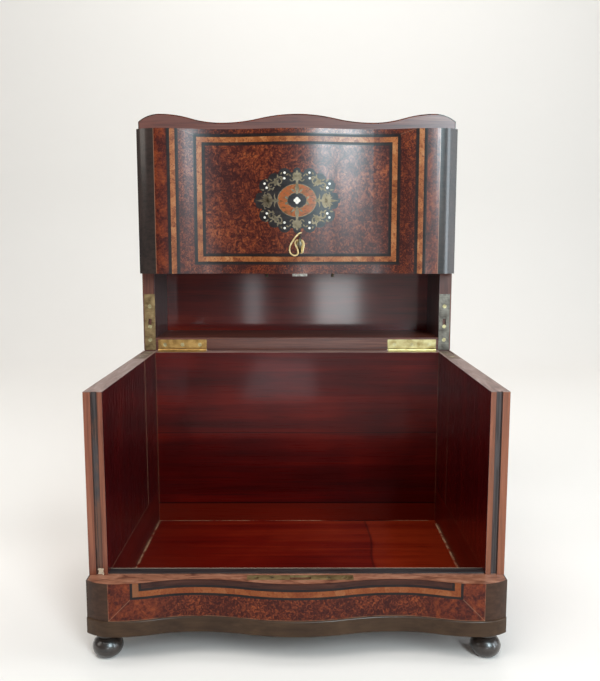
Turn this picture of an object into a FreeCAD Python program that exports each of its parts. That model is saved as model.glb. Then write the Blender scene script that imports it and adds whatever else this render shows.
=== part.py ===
import FreeCAD, Part
import math
import os
import re
from types import SimpleNamespace

# Liqueur casket with a lifting lid and a serpentine front that folds back against the lid.
# Millimetres. +Z is up, the front faces -Y and X runs to the right. The casket is modelled open: the lid
# stands upright behind the case and the front hangs folded against the lid's rim. The origin is under the
# middle of the casket as it stands like that.

SIZES = (
    # Carcass boards
    ("case_width", 330),
    ("case_depth", 229.5),
    ("wall_height", 148),
    ("wall_thick", 15),
    ("back_thick", 15),
    ("back_joint_rise", 61),
    # Groove in the walls' front edges, and the tongue of the front that enters it
    ("groove_edge", 5.8),
    ("groove_width", 4.8),
    ("groove_depth", 1.8),
    ("tongue_depth", 1.2),
    ("tongue_margin", 6),
    # Serpentine outline shared by plinth, front and lid, measured out from the walls' front plane
    ("crest_depth", 17.5),
    ("trough_depth", 8.5),
    ("end_depth", 9.5),
    ("crest_inset", 22),
    ("trough_inset", 86),
    # Plinth
    ("plinth_height", 42.5),
    ("floor_thick", 5.5),
    ("moulding_height", 12.5),
    ("moulding_proud", 1.2),
    ("moulding_round", 1.1),
    ("sill_front", 2.1),
    ("sill_back", 10.6),
    ("sill_height", 1),
    # Feet
    ("foot_height", 22),
    ("foot_radius", 12),
    ("foot_side", 14),
    ("foot_front", 3),
    ("foot_rear", 14),
    # Marquetry
    ("veneer_thick", 1),
    ("corner_width", 18.5),
    ("band_width", 5.2),
    ("string_width", 2.6),
    ("band_inset", 37.5),
    ("frame_inset", 64.1),
    ("frame_top_drop", 10.5),
    ("frame_foot_rise", 15.1),
    ("plinth_band_drop", 8.5),
    ("plinth_band_width", 4.6),
    ("plinth_band_inset", 40),
    ("plinth_string_width", 2),
    # Cartouche in the middle of the front
    ("cartouche_half_width", 44),
    ("cartouche_half_height", 33),
    ("cartouche_drop", 72.5),
    ("ring_half_width", 20),
    ("ring_half_height", 16.6),
    ("eye_half_width", 9.8),
    ("eye_half_height", 7.6),
    ("pearl_radius", 1.2),
    ("scroll_width", 1.2),
    ("petal_half_length", 6.6),
    ("petal_half_width", 1.7),
    ("palmette_stem", 6),
    ("stem_half_width", 1.2),
    # Lid
    ("recess_depth", 72),
    ("lid_board", 8),
    ("rail_thick", 13),
    ("top_band_inset", 24),
    # Fits
    ("rim_gap", 0.3),
    ("panel_gap", 0.3),
    ("panel_foot_gap", 0.4),
    ("slide_clear", 0.25),
    ("key_clear", 0.5),
    ("mortise_clear", 0.6),
    ("pin_clear", 0.05),
    ("overrun", 3),
    # Hinges on the back and between lid and front
    ("pin_offset", 0.5),
    ("fold_offset", 0.75),
    ("pin_radius", 1),
    ("knuckle_radius", 1.8),
    ("knuckle_gap", 0.2),
    ("leaf_thick", 1.5),
    ("hinge_length", 52),
    ("hinge_inset", 0.4),
    ("hinge_leaf_width", 11),
    ("front_hinge_length", 40),
    ("front_hinge_inset", 24),
    ("front_leaf_width", 8.4),
    # Stop plates let into the walls' tops and the lid's side rims
    ("stop_length", 60),
    ("stop_width", 11.5),
    ("stop_edge", 1.3),
    ("stop_proud", 0.8),
    ("stop_slot_width", 3.4),
    # Screws
    ("screw_radius", 1.5),
    ("screw_bite", 5),
    # Lock, strike plate and locating pins
    ("lock_offset", 2.8),
    ("lock_width", 56),
    ("lock_height", 44),
    ("lock_thick", 9),
    ("lock_plate", 1.4),
    ("bolt_width", 15.6),
    ("bolt_thick", 3.5),
    ("bolt_height", 14),
    ("bolt_reach", 3),
    ("bolt_travel", 3),
    ("strike_length", 84),
    ("strike_width", 8.4),
    ("strike_thick", 1.2),
    ("strike_screw_place", 22.3),
    ("mortise_depth", 9),
    ("peg_place", 34.8),
    ("peg_radius", 1.4),
    ("peg_reach", 4),
    ("peg_root", 10),
    # Key and its cord
    ("key_rise", 30.6),
    ("stem_radius", 1.8),
    ("stem_out", 7),
    ("collar_radius", 2.8),
    ("collar_length", 1.2),
    ("bit_reach", 7.4),
    ("bit_thick", 1.6),
    ("bow_radius", 8),
    ("bow_wire", 1.4),
    ("liner_radius", 4.2),
    ("liner_edge", 2.2),
    ("cord_radius", 0.85),
)

PLACES = (
    ("half_width", "case_width / 2"),
    ("inner_half", "half_width - wall_thick"),
    ("rail_half", "half_width - rail_thick"),
    ("crest_place", "half_width - crest_inset"),
    ("trough_place", "half_width - trough_inset"),
    ("band_place", "half_width - band_inset"),
    ("frame_half", "half_width - frame_inset"),
    ("plinth_band_half", "half_width - plinth_band_inset"),
    ("hinge_end", "inner_half - hinge_inset"),
    ("front_hinge_end", "half_width - front_hinge_inset"),
    ("plinth_top", "foot_height + plinth_height"),
    ("moulding_top", "foot_height + moulding_height"),
    ("wall_top", "plinth_top + wall_height"),
    ("lid_depth", "recess_depth + lid_board"),
    ("rear_reach", "case_depth + pin_offset + rim_gap / 2 + lid_depth"),
    ("front_y", "(crest_depth + moulding_proud - rear_reach) / 2"),
    ("rear_y", "front_y + case_depth"),
    ("axis_y", "rear_y + pin_offset"),
    ("axis_z", "wall_top + rim_gap / 2"),
    ("rim_y", "axis_y + rim_gap / 2"),
    ("recess_y", "rim_y + recess_depth"),
    ("lid_back_y", "recess_y + lid_board"),
    ("lid_foot", "axis_z + pin_offset"),
    ("lid_plane", "lid_foot + case_depth"),
    ("fold_y", "axis_y - fold_offset"),
    ("fold_z", "axis_z + case_depth + panel_gap"),
    ("inner_y", "fold_y - pin_offset"),
    ("panel_plane", "inner_y + panel_gap"),
    ("panel_height", "wall_height - panel_foot_gap"),
    ("panel_top", "fold_z - rim_gap / 2 + fold_offset"),
    ("panel_foot", "panel_top - panel_height"),
    ("face_y", "panel_plane - crest_depth"),
    ("frame_top", "panel_top - frame_top_drop"),
    ("frame_foot", "panel_foot + frame_foot_rise"),
    ("plinth_band_z", "plinth_top - plinth_band_drop"),
    ("cartouche_z", "panel_top - cartouche_drop"),
    ("lock_y", "inner_y - lock_thick / 2"),
    ("strike_y", "front_y - panel_gap - lock_thick / 2"),
    ("key_z", "panel_foot + key_rise"),
    ("bow_y", "face_y - stem_out - bow_radius"),
)

SIDES = (("left", -1), ("right", 1))
TURNS = {
    "x": FreeCAD.Rotation(FreeCAD.Vector(0, 1, 0), 90),
    "y": FreeCAD.Rotation(FreeCAD.Vector(1, 0, 0), -90),
    "z": FreeCAD.Rotation(),
}

doc = FreeCAD.newDocument("casket")
owner = {}
nodes = []


def fill_sheet(name, rows):
    """Make a sheet whose second column holds the values under their aliases."""
    sheet = doc.addObject("Spreadsheet::Sheet", name)
    for row, (alias, value) in enumerate(rows, start=1):
        text = f"={expression(value)}" if isinstance(value, str) else str(value)
        sheet.set(f"A{row}", alias)
        sheet.set(f"B{row}", text)
        sheet.setAlias(f"B{row}", alias)
        owner[alias] = f"{name}.{alias}"
    doc.recompute()
    return {alias: float(sheet.get(alias)) for alias, value in rows}


def expression(text):
    """Point every size named in the text at its cell."""
    return re.sub(r"[a-z][a-z_]+", lambda word: owner.get(word[0], word[0]), text)


size = SimpleNamespace(**fill_sheet("Sizes", SIZES))
vars(size).update(fill_sheet("Places", PLACES))


def keep(item):
    """Hand the finished piece in under its label."""
    nodes.append(item)
    return item


def place(item, x, y, z):
    for axis, text in zip("xyz", (x, y, z)):
        item.setExpression(f"Placement.Base.{axis}", expression(text))


def box(name, x, y, z):
    """A block between a low and a high formula on each axis."""
    item = doc.addObject("Part::Box", name)
    for side, (low, high) in zip(("Length", "Width", "Height"), (x, y, z)):
        item.setExpression(side, expression(f"({high}) - ({low})"))
    place(item, x[0], y[0], z[0])
    return item


def rod(name, radius, axis, x, y, z):
    """A round bar along one axis, where that axis has a low and a high formula."""
    item = doc.addObject("Part::Cylinder", name)
    spans = {"x": x, "y": y, "z": z}
    low, high = spans[axis]
    item.setExpression("Radius", expression(radius))
    item.setExpression("Height", expression(f"({high}) - ({low})"))
    item.Placement = FreeCAD.Placement(FreeCAD.Vector(), TURNS[axis])
    spans[axis] = low
    place(item, spans["x"], spans["y"], spans["z"])
    return item


def oval(name, half_width, half_height, x, y, z):
    """An oval bar along Y, wide in X and tall in Z."""
    curve = doc.addObject("Part::Ellipse", f"{name}_curve")
    curve.setExpression("MajorRadius", expression(half_width))
    curve.setExpression("MinorRadius", expression(half_height))
    curve.Placement = FreeCAD.Placement(FreeCAD.Vector(), TURNS["y"])
    place(curve, x, y[0], z)
    return prism(name, curve, f"({y[1]}) - ({y[0]})")


def group(name, pieces):
    item = doc.addObject("Part::Compound", name)
    item.Links = list(pieces)
    return item


def join(name, pieces):
    item = doc.addObject("Part::MultiFuse", name)
    item.Shapes = list(pieces)
    return item


def cut(name, base, tools):
    item = doc.addObject("Part::Cut", name)
    item.Base = base
    item.Tool = tools[0] if len(tools) == 1 else join(f"{name}_tools", tools)
    return item


def shared(name, base, tool):
    item = doc.addObject("Part::Common", name)
    item.Base = base
    item.Tool = tool
    return item


def prism(name, outline, length):
    """Raise an outline along its own normal."""
    item = doc.addObject("Part::Extrusion", name)
    item.Base = outline
    item.DirMode = "Normal"
    item.Solid = True
    item.setExpression("LengthFwd", expression(length))
    return item


def across(sign, near, far):
    """The span from near to far on the right, or its mirror on the left."""
    return (near, far) if sign > 0 else (f"-({far})", f"-({near})")


def about(middle, half):
    """The span that reaches half either side of the middle."""
    return f"({middle}) - ({half})", f"({middle}) + ({half})"


# The serpentine outline


def sweep(x, y, radius, start, turn):
    """An arc that turns from the start angle, either way."""
    low, high = sorted((start, start + turn))
    circle = Part.Circle(FreeCAD.Vector(x, y, 0), FreeCAD.Vector(0, 0, 1), radius)
    return Part.ArcOfCircle(circle, low, high)


def segment(start, end):
    return Part.LineSegment(FreeCAD.Vector(*start, 0), FreeCAD.Vector(*end, 0))


def serpentine(name, inset, side, back, y, z, upright=False):
    """Sketch of the shared outline: wavy front, straight sides and back.

    The front follows the finished face, inset towards the back, and is made of tangent arcs: an S from the
    middle crest to each trough, another to each end crest, and one arc on to the side.
    """
    rise = size.crest_depth - size.trough_depth
    outer_run = size.crest_place - size.trough_place
    end_rise = size.crest_depth - size.end_depth
    end_run = size.half_width - size.crest_place
    inner_radius = (size.trough_place**2 + rise**2) / (4 * rise)
    outer_radius = (outer_run**2 + rise**2) / (4 * rise)
    end_radius = (end_run**2 + end_rise**2) / (2 * end_rise)
    inner_turn = math.asin(size.trough_place / (2 * inner_radius))
    outer_turn = math.asin(outer_run / (2 * outer_radius))
    end_turn = math.asin((side - size.crest_place) / (end_radius - inset))
    end_y = end_radius - size.crest_depth - (end_radius - inset) * math.cos(end_turn)
    up, down = math.pi / 2, -math.pi / 2

    middle_y = inner_radius - size.crest_depth
    edges = [sweep(0, middle_y, inner_radius - inset, down - inner_turn, 2 * inner_turn)]
    for label, sign in SIDES:
        trough_x = sign * size.trough_place
        crest_x = sign * size.crest_place
        trough_y = -size.trough_depth
        crest_y = -size.crest_depth
        edges += [
            sweep(trough_x, trough_y - inner_radius, inner_radius + inset, up, sign * inner_turn),
            sweep(trough_x, trough_y - outer_radius, outer_radius + inset, up, -sign * outer_turn),
            sweep(crest_x, crest_y + outer_radius, outer_radius - inset, down, -sign * outer_turn),
            sweep(crest_x, crest_y + end_radius, end_radius - inset, down, sign * end_turn),
            segment((sign * side, end_y), (sign * side, back)),
        ]
    edges.append(segment((-side, back), (side, back)))

    sketch = doc.addObject("Sketcher::SketchObject", name)
    sketch.addGeometry(edges)
    turn = TURNS["y"] if upright else TURNS["z"]
    sketch.Placement = FreeCAD.Placement(FreeCAD.Vector(), turn)
    place(sketch, "0", y, z)
    return sketch


def skin_pair(name, back, y, z, length, upright=False):
    """The core under the veneer and the veneer layer round its front and ends."""
    inset = size.veneer_thick
    whole_line = serpentine(f"{name}_line", 0, size.half_width, back, y, z, upright)
    core_line = serpentine(f"{name}_core_line", inset, size.half_width - inset, back, y, z, upright)
    whole = prism(f"{name}_whole", whole_line, length)
    core = prism(f"{name}_core", core_line, length)
    return core, cut(f"{name}_skin", whole, [core])


# Hinges

screw_shares = (0.14, 0.5, 0.86)
knuckle_count = 5


def hinge_leaf(name, low, length, axis, first, seat):
    """One leaf with its knuckles and screws, on the seat given.

    The plate lies in the wood and ends inside its own knuckles, which are every second one from the first one
    given. It is notched for the other leaf's. Its screws run along the seat's screw axis, over its depth.
    """
    plate = box(f"{name}_plate", (low, f"{low} + {length}"), seat.plate_y, seat.plate_z)

    metal, notches = [plate], []
    for knuckle in range(knuckle_count):
        start = f"{low} + {length} * {knuckle} / {knuckle_count}"
        stop = f"{low} + {length} * {knuckle + 1} / {knuckle_count}"
        if knuckle % 2 == first:
            barrel_x = (f"{start} + knuckle_gap / 2", f"{stop} - knuckle_gap / 2")
            metal.append(rod(f"{name}_barrel_{knuckle}", "knuckle_radius", "x", barrel_x, *axis))
        else:
            notch_radius = "knuckle_radius + knuckle_gap"
            notches.append(rod(f"{name}_notch_{knuckle}", notch_radius, "x", (start, stop), *axis))
    bore_x = (f"{low} - overrun", f"{low} + {length} + overrun")
    bore = rod(f"{name}_bore", "pin_radius + pin_clear", "x", bore_x, *axis)

    screws = []
    for number, share in enumerate(screw_shares):
        screw_x = f"{low} + {length} * {share}"
        label = f"{name}_screw_{number}"
        if seat.screw_axis == "y":
            middle = f"({seat.plate_z[0]} + {seat.plate_z[1]}) / 2"
            screws.append(rod(label, "screw_radius", "y", screw_x, seat.screw_depth, middle))
        else:
            middle = f"({seat.plate_y[0]} + {seat.plate_y[1]}) / 2"
            screws.append(rod(label, "screw_radius", "z", screw_x, middle, seat.screw_depth))
    leaf = cut(name, join(f"{name}_metal", metal), [bore] + notches + screws)
    return SimpleNamespace(leaf=leaf, plate=plate, screws=screws)


def knuckle_room(name, low, length, axis):
    """The hollow that wood beside a hinge needs for its knuckles."""
    room_x = (f"{low} - knuckle_gap", f"{low} + {length} + knuckle_gap")
    return rod(name, "knuckle_radius + rim_gap", "x", room_x, *axis)


def hinge_pin(name, low, length, axis):
    return rod(name, "pin_radius", "x", (low, f"{low} + {length}"), *axis)


def hinge_low(sign, end, length):
    """Where a hinge starts in X, so that both hinges end alike from the middle."""
    return across(sign, f"{end} - {length}", end)[0]


back_axis = ("axis_y", "axis_z")
fold_axis = ("fold_y", "fold_z")
rim_plate_y = ("rim_y", "rim_y + leaf_thick")
rim_screw_depth = ("rim_y", "rim_y + leaf_thick + screw_bite")
# On the back board's top edge
case_seat = SimpleNamespace(
    plate_y=("rear_y - hinge_leaf_width", "rear_y"),
    plate_z=("wall_top - leaf_thick", "wall_top"),
    screw_axis="z",
    screw_depth=("wall_top - leaf_thick - screw_bite", "wall_top"),
)
# In the rim of the lid's rear rail
lid_seat = SimpleNamespace(
    plate_y=rim_plate_y,
    plate_z=("lid_foot", "lid_foot + hinge_leaf_width"),
    screw_axis="y",
    screw_depth=rim_screw_depth,
)
# In the rim of the lid's front rail, behind the folded front
fold_lid_seat = SimpleNamespace(
    plate_y=rim_plate_y,
    plate_z=("fold_z - pin_offset - front_leaf_width", "fold_z - pin_offset"),
    screw_axis="y",
    screw_depth=rim_screw_depth,
)
# In the front's inner face, under its top edge
fold_seat = SimpleNamespace(
    plate_y=("inner_y - leaf_thick", "inner_y"),
    plate_z=("panel_top - front_leaf_width", "panel_top"),
    screw_axis="y",
    screw_depth=("inner_y - leaf_thick - screw_bite", "inner_y"),
)
case_leaves, lid_leaves, fold_lid_leaves, fold_leaves = {}, {}, {}, {}
back_pins, fold_pins, back_rooms, fold_rooms = [], [], [], []
for label, sign in SIDES:
    low = hinge_low(sign, "hinge_end", "hinge_length")
    back_size = (low, "hinge_length", back_axis)
    case_leaves[label] = hinge_leaf(f"hinge_case_leaf_{label}", *back_size, 0, case_seat)
    lid_leaves[label] = hinge_leaf(f"hinge_lid_leaf_{label}", *back_size, 1, lid_seat)
    keep(case_leaves[label].leaf)
    keep(lid_leaves[label].leaf)
    back_pins.append(hinge_pin(f"back_pin_{label}", *back_size))
    back_rooms.append(knuckle_room(f"back_room_{label}", *back_size))
    low = hinge_low(sign, "front_hinge_end", "front_hinge_length")
    fold_size = (low, "front_hinge_length", fold_axis)
    fold_lid_leaves[label] = hinge_leaf(f"fold_lid_leaf_{label}", *fold_size, 0, fold_lid_seat)
    fold_leaves[label] = hinge_leaf(f"fold_leaf_{label}", *fold_size, 1, fold_seat)
    fold_pins.append(hinge_pin(f"fold_pin_{label}", *fold_size))
    fold_rooms.append(knuckle_room(f"fold_room_{label}", *fold_size))
keep(group("hinge_pins", back_pins))
keep(group("front_hinge_pins", fold_pins))
keep(group("front_hinge_lid_leaves", [hinge.leaf for hinge in fold_lid_leaves.values()]))
keep(group("front_hinge_leaves", [hinge.leaf for hinge in fold_leaves.values()]))


# Stop plates

stop_screw_shares = (0.18, 0.42, 0.78)


def stop_plate(name, sign, upright):
    """A plate let into a rim. Half of it stands proud on the lid, and lies as much lower on the wall."""
    edge = "half_width - stop_edge"
    plate_x = across(sign, f"{edge} - stop_width", edge)
    middle = across(sign, f"{edge} - stop_width / 2", edge)[0 if sign > 0 else 1]
    slot_x = about(middle, "stop_slot_width / 2")
    if upright:
        long = ("lid_foot", "lid_foot + stop_length")
        half = ("lid_foot", "lid_foot + stop_length / 2")
        pocket = box(f"{name}_pocket", plate_x, ("rim_y", "rim_y + leaf_thick"), long)
        thick = box(f"{name}_thick", plate_x, ("rim_y - stop_proud", "rim_y + leaf_thick"), half)
        slot_z = about("lid_foot + stop_length / 2", "stop_slot_width")
        slot = box(f"{name}_slot", slot_x, ("rim_y - overrun", "rim_y + leaf_thick + overrun"), slot_z)
        blank = cut(f"{name}_blank", join(f"{name}_metal", [pocket, thick]), [slot])
        pockets = [pocket]
    else:
        low = "wall_top - leaf_thick"
        front = ("rear_y - stop_length", "rear_y - stop_length / 2")
        rear = ("rear_y - stop_length / 2", "rear_y")
        flush = box(f"{name}_flush", plate_x, front, (low, "wall_top"))
        sunk = box(f"{name}_sunk", plate_x, rear, (f"{low} - stop_proud", "wall_top - stop_proud"))
        room = box(f"{name}_room", plate_x, rear, (f"{low} - stop_proud", "wall_top"))
        blank = join(f"{name}_blank", [flush, sunk])
        pockets = [flush, room]

    screws = []
    for number, share in enumerate(stop_screw_shares):
        label = f"{name}_screw_{number}"
        if upright:
            proud = "- stop_proud" if share < 0.5 else ""
            depth = (f"rim_y {proud}", "rim_y + leaf_thick + screw_bite")
            screw_z = f"lid_foot + stop_length * {share}"
            screws.append(rod(label, "screw_radius", "y", middle, depth, screw_z))
        else:
            drop = "- stop_proud" if share < 0.5 else ""
            depth = (f"{low} - screw_bite", f"wall_top {drop}")
            screw_y = f"rear_y - stop_length * {share}"
            screws.append(rod(label, "screw_radius", "z", middle, screw_y, depth))
    leaf = cut(name, blank, screws)
    return SimpleNamespace(leaf=leaf, pockets=pockets, screws=screws)


case_stops = {label: stop_plate(f"stop_case_{label}", sign, False) for label, sign in SIDES}
lid_stops = {label: stop_plate(f"stop_lid_{label}", sign, True) for label, sign in SIDES}
keep(group("stop_case_leaves", [stop.leaf for stop in case_stops.values()]))
keep(group("stop_lid_leaves", [stop.leaf for stop in lid_stops.values()]))


# Carcass

board_y = ("front_y", "rear_y")
cross_x = ("-inner_half", "inner_half")
back_y = ("rear_y - back_thick", "rear_y")
behind_sill_y = ("front_y + sill_back", "rear_y")

floor_y = (behind_sill_y[0], back_y[0])
keep(box("floor_board", cross_x, floor_y, ("foot_height", "foot_height + floor_thick")))
back_joint = "plinth_top + back_joint_rise"
keep(box("wall_back_lower", cross_x, back_y, ("foot_height", back_joint)))
back_blank = box("wall_back_upper_blank", cross_x, back_y, (back_joint, "wall_top"))
back_lets = list(back_rooms)
for hinge in case_leaves.values():
    back_lets += [hinge.plate] + hinge.screws
keep(cut("wall_back_upper", back_blank, back_lets))
for label, sign in SIDES:
    wall_x = across(sign, "inner_half", "half_width")
    wall_z = ("plinth_top", "wall_top")
    groove_far = "half_width - groove_edge"
    groove_x = across(sign, f"{groove_far} - groove_width", groove_far)
    groove_y = ("front_y - overrun", "front_y + groove_depth")
    groove = box(f"groove_{label}", groove_x, groove_y, ("plinth_top - overrun", "wall_top + overrun"))
    blank = box(f"wall_{label}_blank", wall_x, board_y, wall_z)
    stop = case_stops[label]
    keep(cut(f"wall_{label}", blank, [groove] + stop.pockets + stop.screws))
    keep(box(f"plinth_{label}", wall_x, behind_sill_y, ("foot_height", "plinth_top")))


# Plinth front with its strike plate

strike_x = about("lock_offset", "strike_length / 2")
strike_z = ("plinth_top - strike_thick", "plinth_top")
strike_blank = box("strike_blank", strike_x, about("strike_y", "strike_width / 2"), strike_z)
mortise_x = about("lock_offset", "bolt_width / 2 + mortise_clear")
mortise_y = about("strike_y", "bolt_thick / 2 + mortise_clear")
mortise = box("mortise", mortise_x, mortise_y, ("plinth_top - mortise_depth", "plinth_top + overrun"))
sockets, strike_screws = [], []
for label, sign in SIDES:
    socket_x = f"lock_offset + ({sign}) * peg_place"
    socket_z = ("plinth_top - mortise_depth", "plinth_top + overrun")
    socket_radius = "peg_radius + mortise_clear"
    sockets.append(rod(f"socket_{label}", socket_radius, "z", socket_x, "strike_y", socket_z))
    screw_x = f"lock_offset + ({sign}) * strike_screw_place"
    screw_z = ("plinth_top - strike_thick - screw_bite", "plinth_top")
    strike_screws.append(rod(f"strike_screw_{label}", "screw_radius", "z", screw_x, "strike_y", screw_z))
strike_holes = [mortise] + sockets + strike_screws
keep(cut("strike_plate", strike_blank, strike_holes))
keep(group("strike_screws", strike_screws))

skin_height = "plinth_top - moulding_top"
plinth_core, plinth_skin = skin_pair("plinth", size.sill_back, "front_y", "moulding_top", skin_height)
keep(cut("plinth_front", plinth_core, [strike_blank] + strike_holes))
sill_y = ("front_y + sill_front", "front_y + sill_back")
keep(box("front_sill", cross_x, sill_y, ("plinth_top", "plinth_top + sill_height")))

moulding_line = serpentine(
    "moulding_line", -size.moulding_proud, size.half_width, size.sill_back, "front_y", "foot_height"
)
moulding_blank = prism("moulding_blank", moulding_line, "moulding_height")
doc.recompute()
front_edges = []
for number, edge in enumerate(moulding_blank.Shape.Edges, start=1):
    level = edge.BoundBox.ZMin
    on_rim = edge.BoundBox.ZLength < size.rim_gap and abs(level - size.moulding_top) < size.rim_gap
    if on_rim and edge.BoundBox.YMax < size.front_y - size.rim_gap and edge.Curve.TypeId != "Part::GeomLine":
        front_edges.append((number, size.moulding_round, size.moulding_round))
moulding = doc.addObject("Part::Fillet", "plinth_moulding")
moulding.Base = moulding_blank
moulding.Edges = front_edges
keep(moulding)

through_y = ("front_y - crest_depth - overrun", "front_y + sill_back + overrun")
skin_z = ("moulding_top - overrun", "plinth_top + overrun")


def plinth_u(name, grow):
    """A tool in the shape of the band: level below, turned up to the top edge at both ends."""
    half = f"(plinth_band_width / 2 + {grow})"
    low = f"plinth_band_z - {half}"
    near, far = about("plinth_band_half", half)
    pieces = [box(f"{name}_level", about("0", far), through_y, (low, f"plinth_band_z + {half}"))]
    for label, sign in SIDES:
        pieces.append(box(f"{name}_{label}", across(sign, near, far), through_y, (low, skin_z[1])))
    return join(name, pieces)


plinth_band = plinth_u("plinth_band", "0")
plinth_string = plinth_u("plinth_string", "plinth_string_width")
inside_margin = "plinth_band_width / 2 + plinth_string_width"
inside_x = about("0", f"plinth_band_half - ({inside_margin})")
inside_z = (f"plinth_band_z + {inside_margin}", skin_z[1])
plinth_inside = box("plinth_inside", inside_x, through_y, inside_z)
plinth_corners = []
for label, sign in SIDES:
    corner_x = across(sign, "half_width - corner_width", "half_width + overrun")
    plinth_corners.append(box(f"plinth_corner_{label}", corner_x, through_y, skin_z))
keep(shared("plinth_banding", plinth_skin, plinth_band))
keep(cut("plinth_stringing", shared("plinth_string_whole", plinth_skin, plinth_string), [plinth_band]))
keep(shared("plinth_crossband", plinth_skin, plinth_inside))
keep(shared("plinth_corner_strips", plinth_skin, join("plinth_corners", plinth_corners)))
keep(cut("plinth_veneer", plinth_skin, [plinth_string, plinth_inside] + plinth_corners))


# Feet

foot_shares = SimpleNamespace(base=0.6, neck=0.55, collar=0.78, belly=0.34, shoulder=0.72, waist=0.82)


def foot(name, x, y):
    """A turned bun on a narrow neck under a collar."""
    body = doc.addObject("PartDesign::Body", name)
    sketch = body.newObject("Sketcher::SketchObject", f"{name}_profile")
    plane = next(item for item in body.Origin.OriginFeatures if item.Role == "XZ_Plane")
    sketch.AttachmentSupport = [(plane, "")]
    sketch.MapMode = "FlatFace"
    share = foot_shares
    base = FreeCAD.Vector(size.foot_radius * share.base, 0, 0)
    belly = FreeCAD.Vector(size.foot_radius, size.foot_height * share.belly, 0)
    neck = FreeCAD.Vector(size.foot_radius * share.neck, size.foot_height * share.shoulder, 0)
    waist = FreeCAD.Vector(size.foot_radius * share.collar, size.foot_height * share.waist, 0)
    rim = FreeCAD.Vector(size.foot_radius * share.collar, size.foot_height, 0)
    top = FreeCAD.Vector(0, size.foot_height, 0)
    sketch.addGeometry([
        Part.LineSegment(FreeCAD.Vector(), base),
        Part.Arc(base, belly, neck),
        Part.LineSegment(neck, waist),
        Part.LineSegment(waist, rim),
        Part.LineSegment(rim, top),
        Part.LineSegment(top, FreeCAD.Vector()),
    ])
    turned = body.newObject("PartDesign::Revolution", f"{name}_turned")
    turned.Profile = sketch
    turned.ReferenceAxis = (sketch, ["V_Axis"])
    turned.Angle = 360
    place(body, x, y, "0")
    return body


for depth, y in (("front", "front_y - foot_front"), ("rear", "rear_y - foot_rear")):
    for label, sign in SIDES:
        keep(foot(f"foot_{depth}_{label}", f"({sign}) * (half_width - foot_side)", y))


# Lid, standing upright behind the case

lid_y = ("rim_y", "recess_y")
rear_z = ("lid_foot", "lid_foot + rail_thick")
rear_blank = box("lid_rear_rail_blank", ("-rail_half", "rail_half"), lid_y, rear_z)
rear_lets = list(back_rooms)
for hinge in lid_leaves.values():
    rear_lets += [hinge.plate] + hinge.screws
keep(cut("lid_rear_rail", rear_blank, rear_lets))
for label, sign in SIDES:
    side_x = across(sign, "rail_half", "half_width")
    blank = box(f"lid_side_{label}_blank", side_x, lid_y, ("lid_foot", "lid_plane - rail_thick"))
    stop = lid_stops[label]
    keep(cut(f"lid_side_{label}", blank, stop.pockets + stop.screws))

rail_core, rail_skin = skin_pair("lid_rail", size.rail_thick, "rim_y", "lid_plane", "recess_depth", True)
rail_lets = list(fold_rooms)
for hinge in fold_lid_leaves.values():
    rail_lets += [hinge.plate] + hinge.screws
keep(cut("lid_front_rail", rail_core, rail_lets))
rail_y = ("rim_y - overrun", "recess_y + overrun")
rail_z = ("lid_plane - rail_thick - overrun", "lid_plane + crest_depth + overrun")
rail_corners = []
for label, sign in SIDES:
    corner_x = across(sign, "half_width - corner_width", "half_width + overrun")
    rail_corners.append(box(f"rail_corner_{label}", corner_x, rail_y, rail_z))
keep(shared("lid_corner_strips", rail_skin, join("rail_corners", rail_corners)))
keep(cut("lid_rail_veneer", rail_skin, rail_corners))

top_line = serpentine("top_line", 0, size.half_width, size.case_depth, "recess_y", "lid_plane", True)
top_blank = prism("lid_top_blank", top_line, "lid_board")
band_y = ("lid_back_y - veneer_thick", "lid_back_y")
outer_half = "half_width - top_band_inset"
outer_z = ("lid_foot + top_band_inset", "lid_plane + trough_depth - top_band_inset")
inner_z = (f"{outer_z[0]} + band_width", f"{outer_z[1]} - band_width")
top_outer = box("top_band_outer", about("0", outer_half), band_y, outer_z)
top_inner = box("top_band_inner", about("0", f"{outer_half} - band_width"), band_y, inner_z)
top_band = cut("lid_top_banding", top_outer, [top_inner])
keep(top_band)
keep(cut("lid_top_board", top_blank, [top_band]))


# Lock, bolt and key

lock_x = about("lock_offset", "lock_width / 2")
lock_z = ("panel_foot", "panel_foot + lock_height")
lock_blank = box("lock_blank", lock_x, ("inner_y - lock_thick", "inner_y"), lock_z)
bolt_x = about("lock_offset", "bolt_width / 2")
bolt_y = about("lock_y", "bolt_thick / 2")
bolt_top = "panel_foot + bolt_height"
keep(box("lock_bolt", bolt_x, bolt_y, ("panel_foot - bolt_reach", bolt_top)))
channel = box(
    "bolt_channel",
    about("lock_offset", "bolt_width / 2 + slide_clear"),
    about("lock_y", "bolt_thick / 2 + slide_clear"),
    ("panel_foot - overrun", f"{bolt_top} + bolt_travel + slide_clear"),
)
chamber_y = ("inner_y - lock_thick + lock_plate", "inner_y - lock_plate")
chamber = rod("key_chamber", "bit_reach + key_clear", "y", "lock_offset", chamber_y, "key_z")
hole_y = ("face_y - overrun", chamber_y[0])
slot_z = ("key_z - bit_reach - key_clear", "key_z")
keyhole = join("keyhole", [
    rod("keyhole_round", "stem_radius + pin_clear", "y", "lock_offset", hole_y, "key_z"),
    box("keyhole_slot", about("lock_offset", "bit_thick / 2 + slide_clear"), hole_y, slot_z),
])
keep(cut("lock_case", lock_blank, [channel, chamber, keyhole]))

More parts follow.
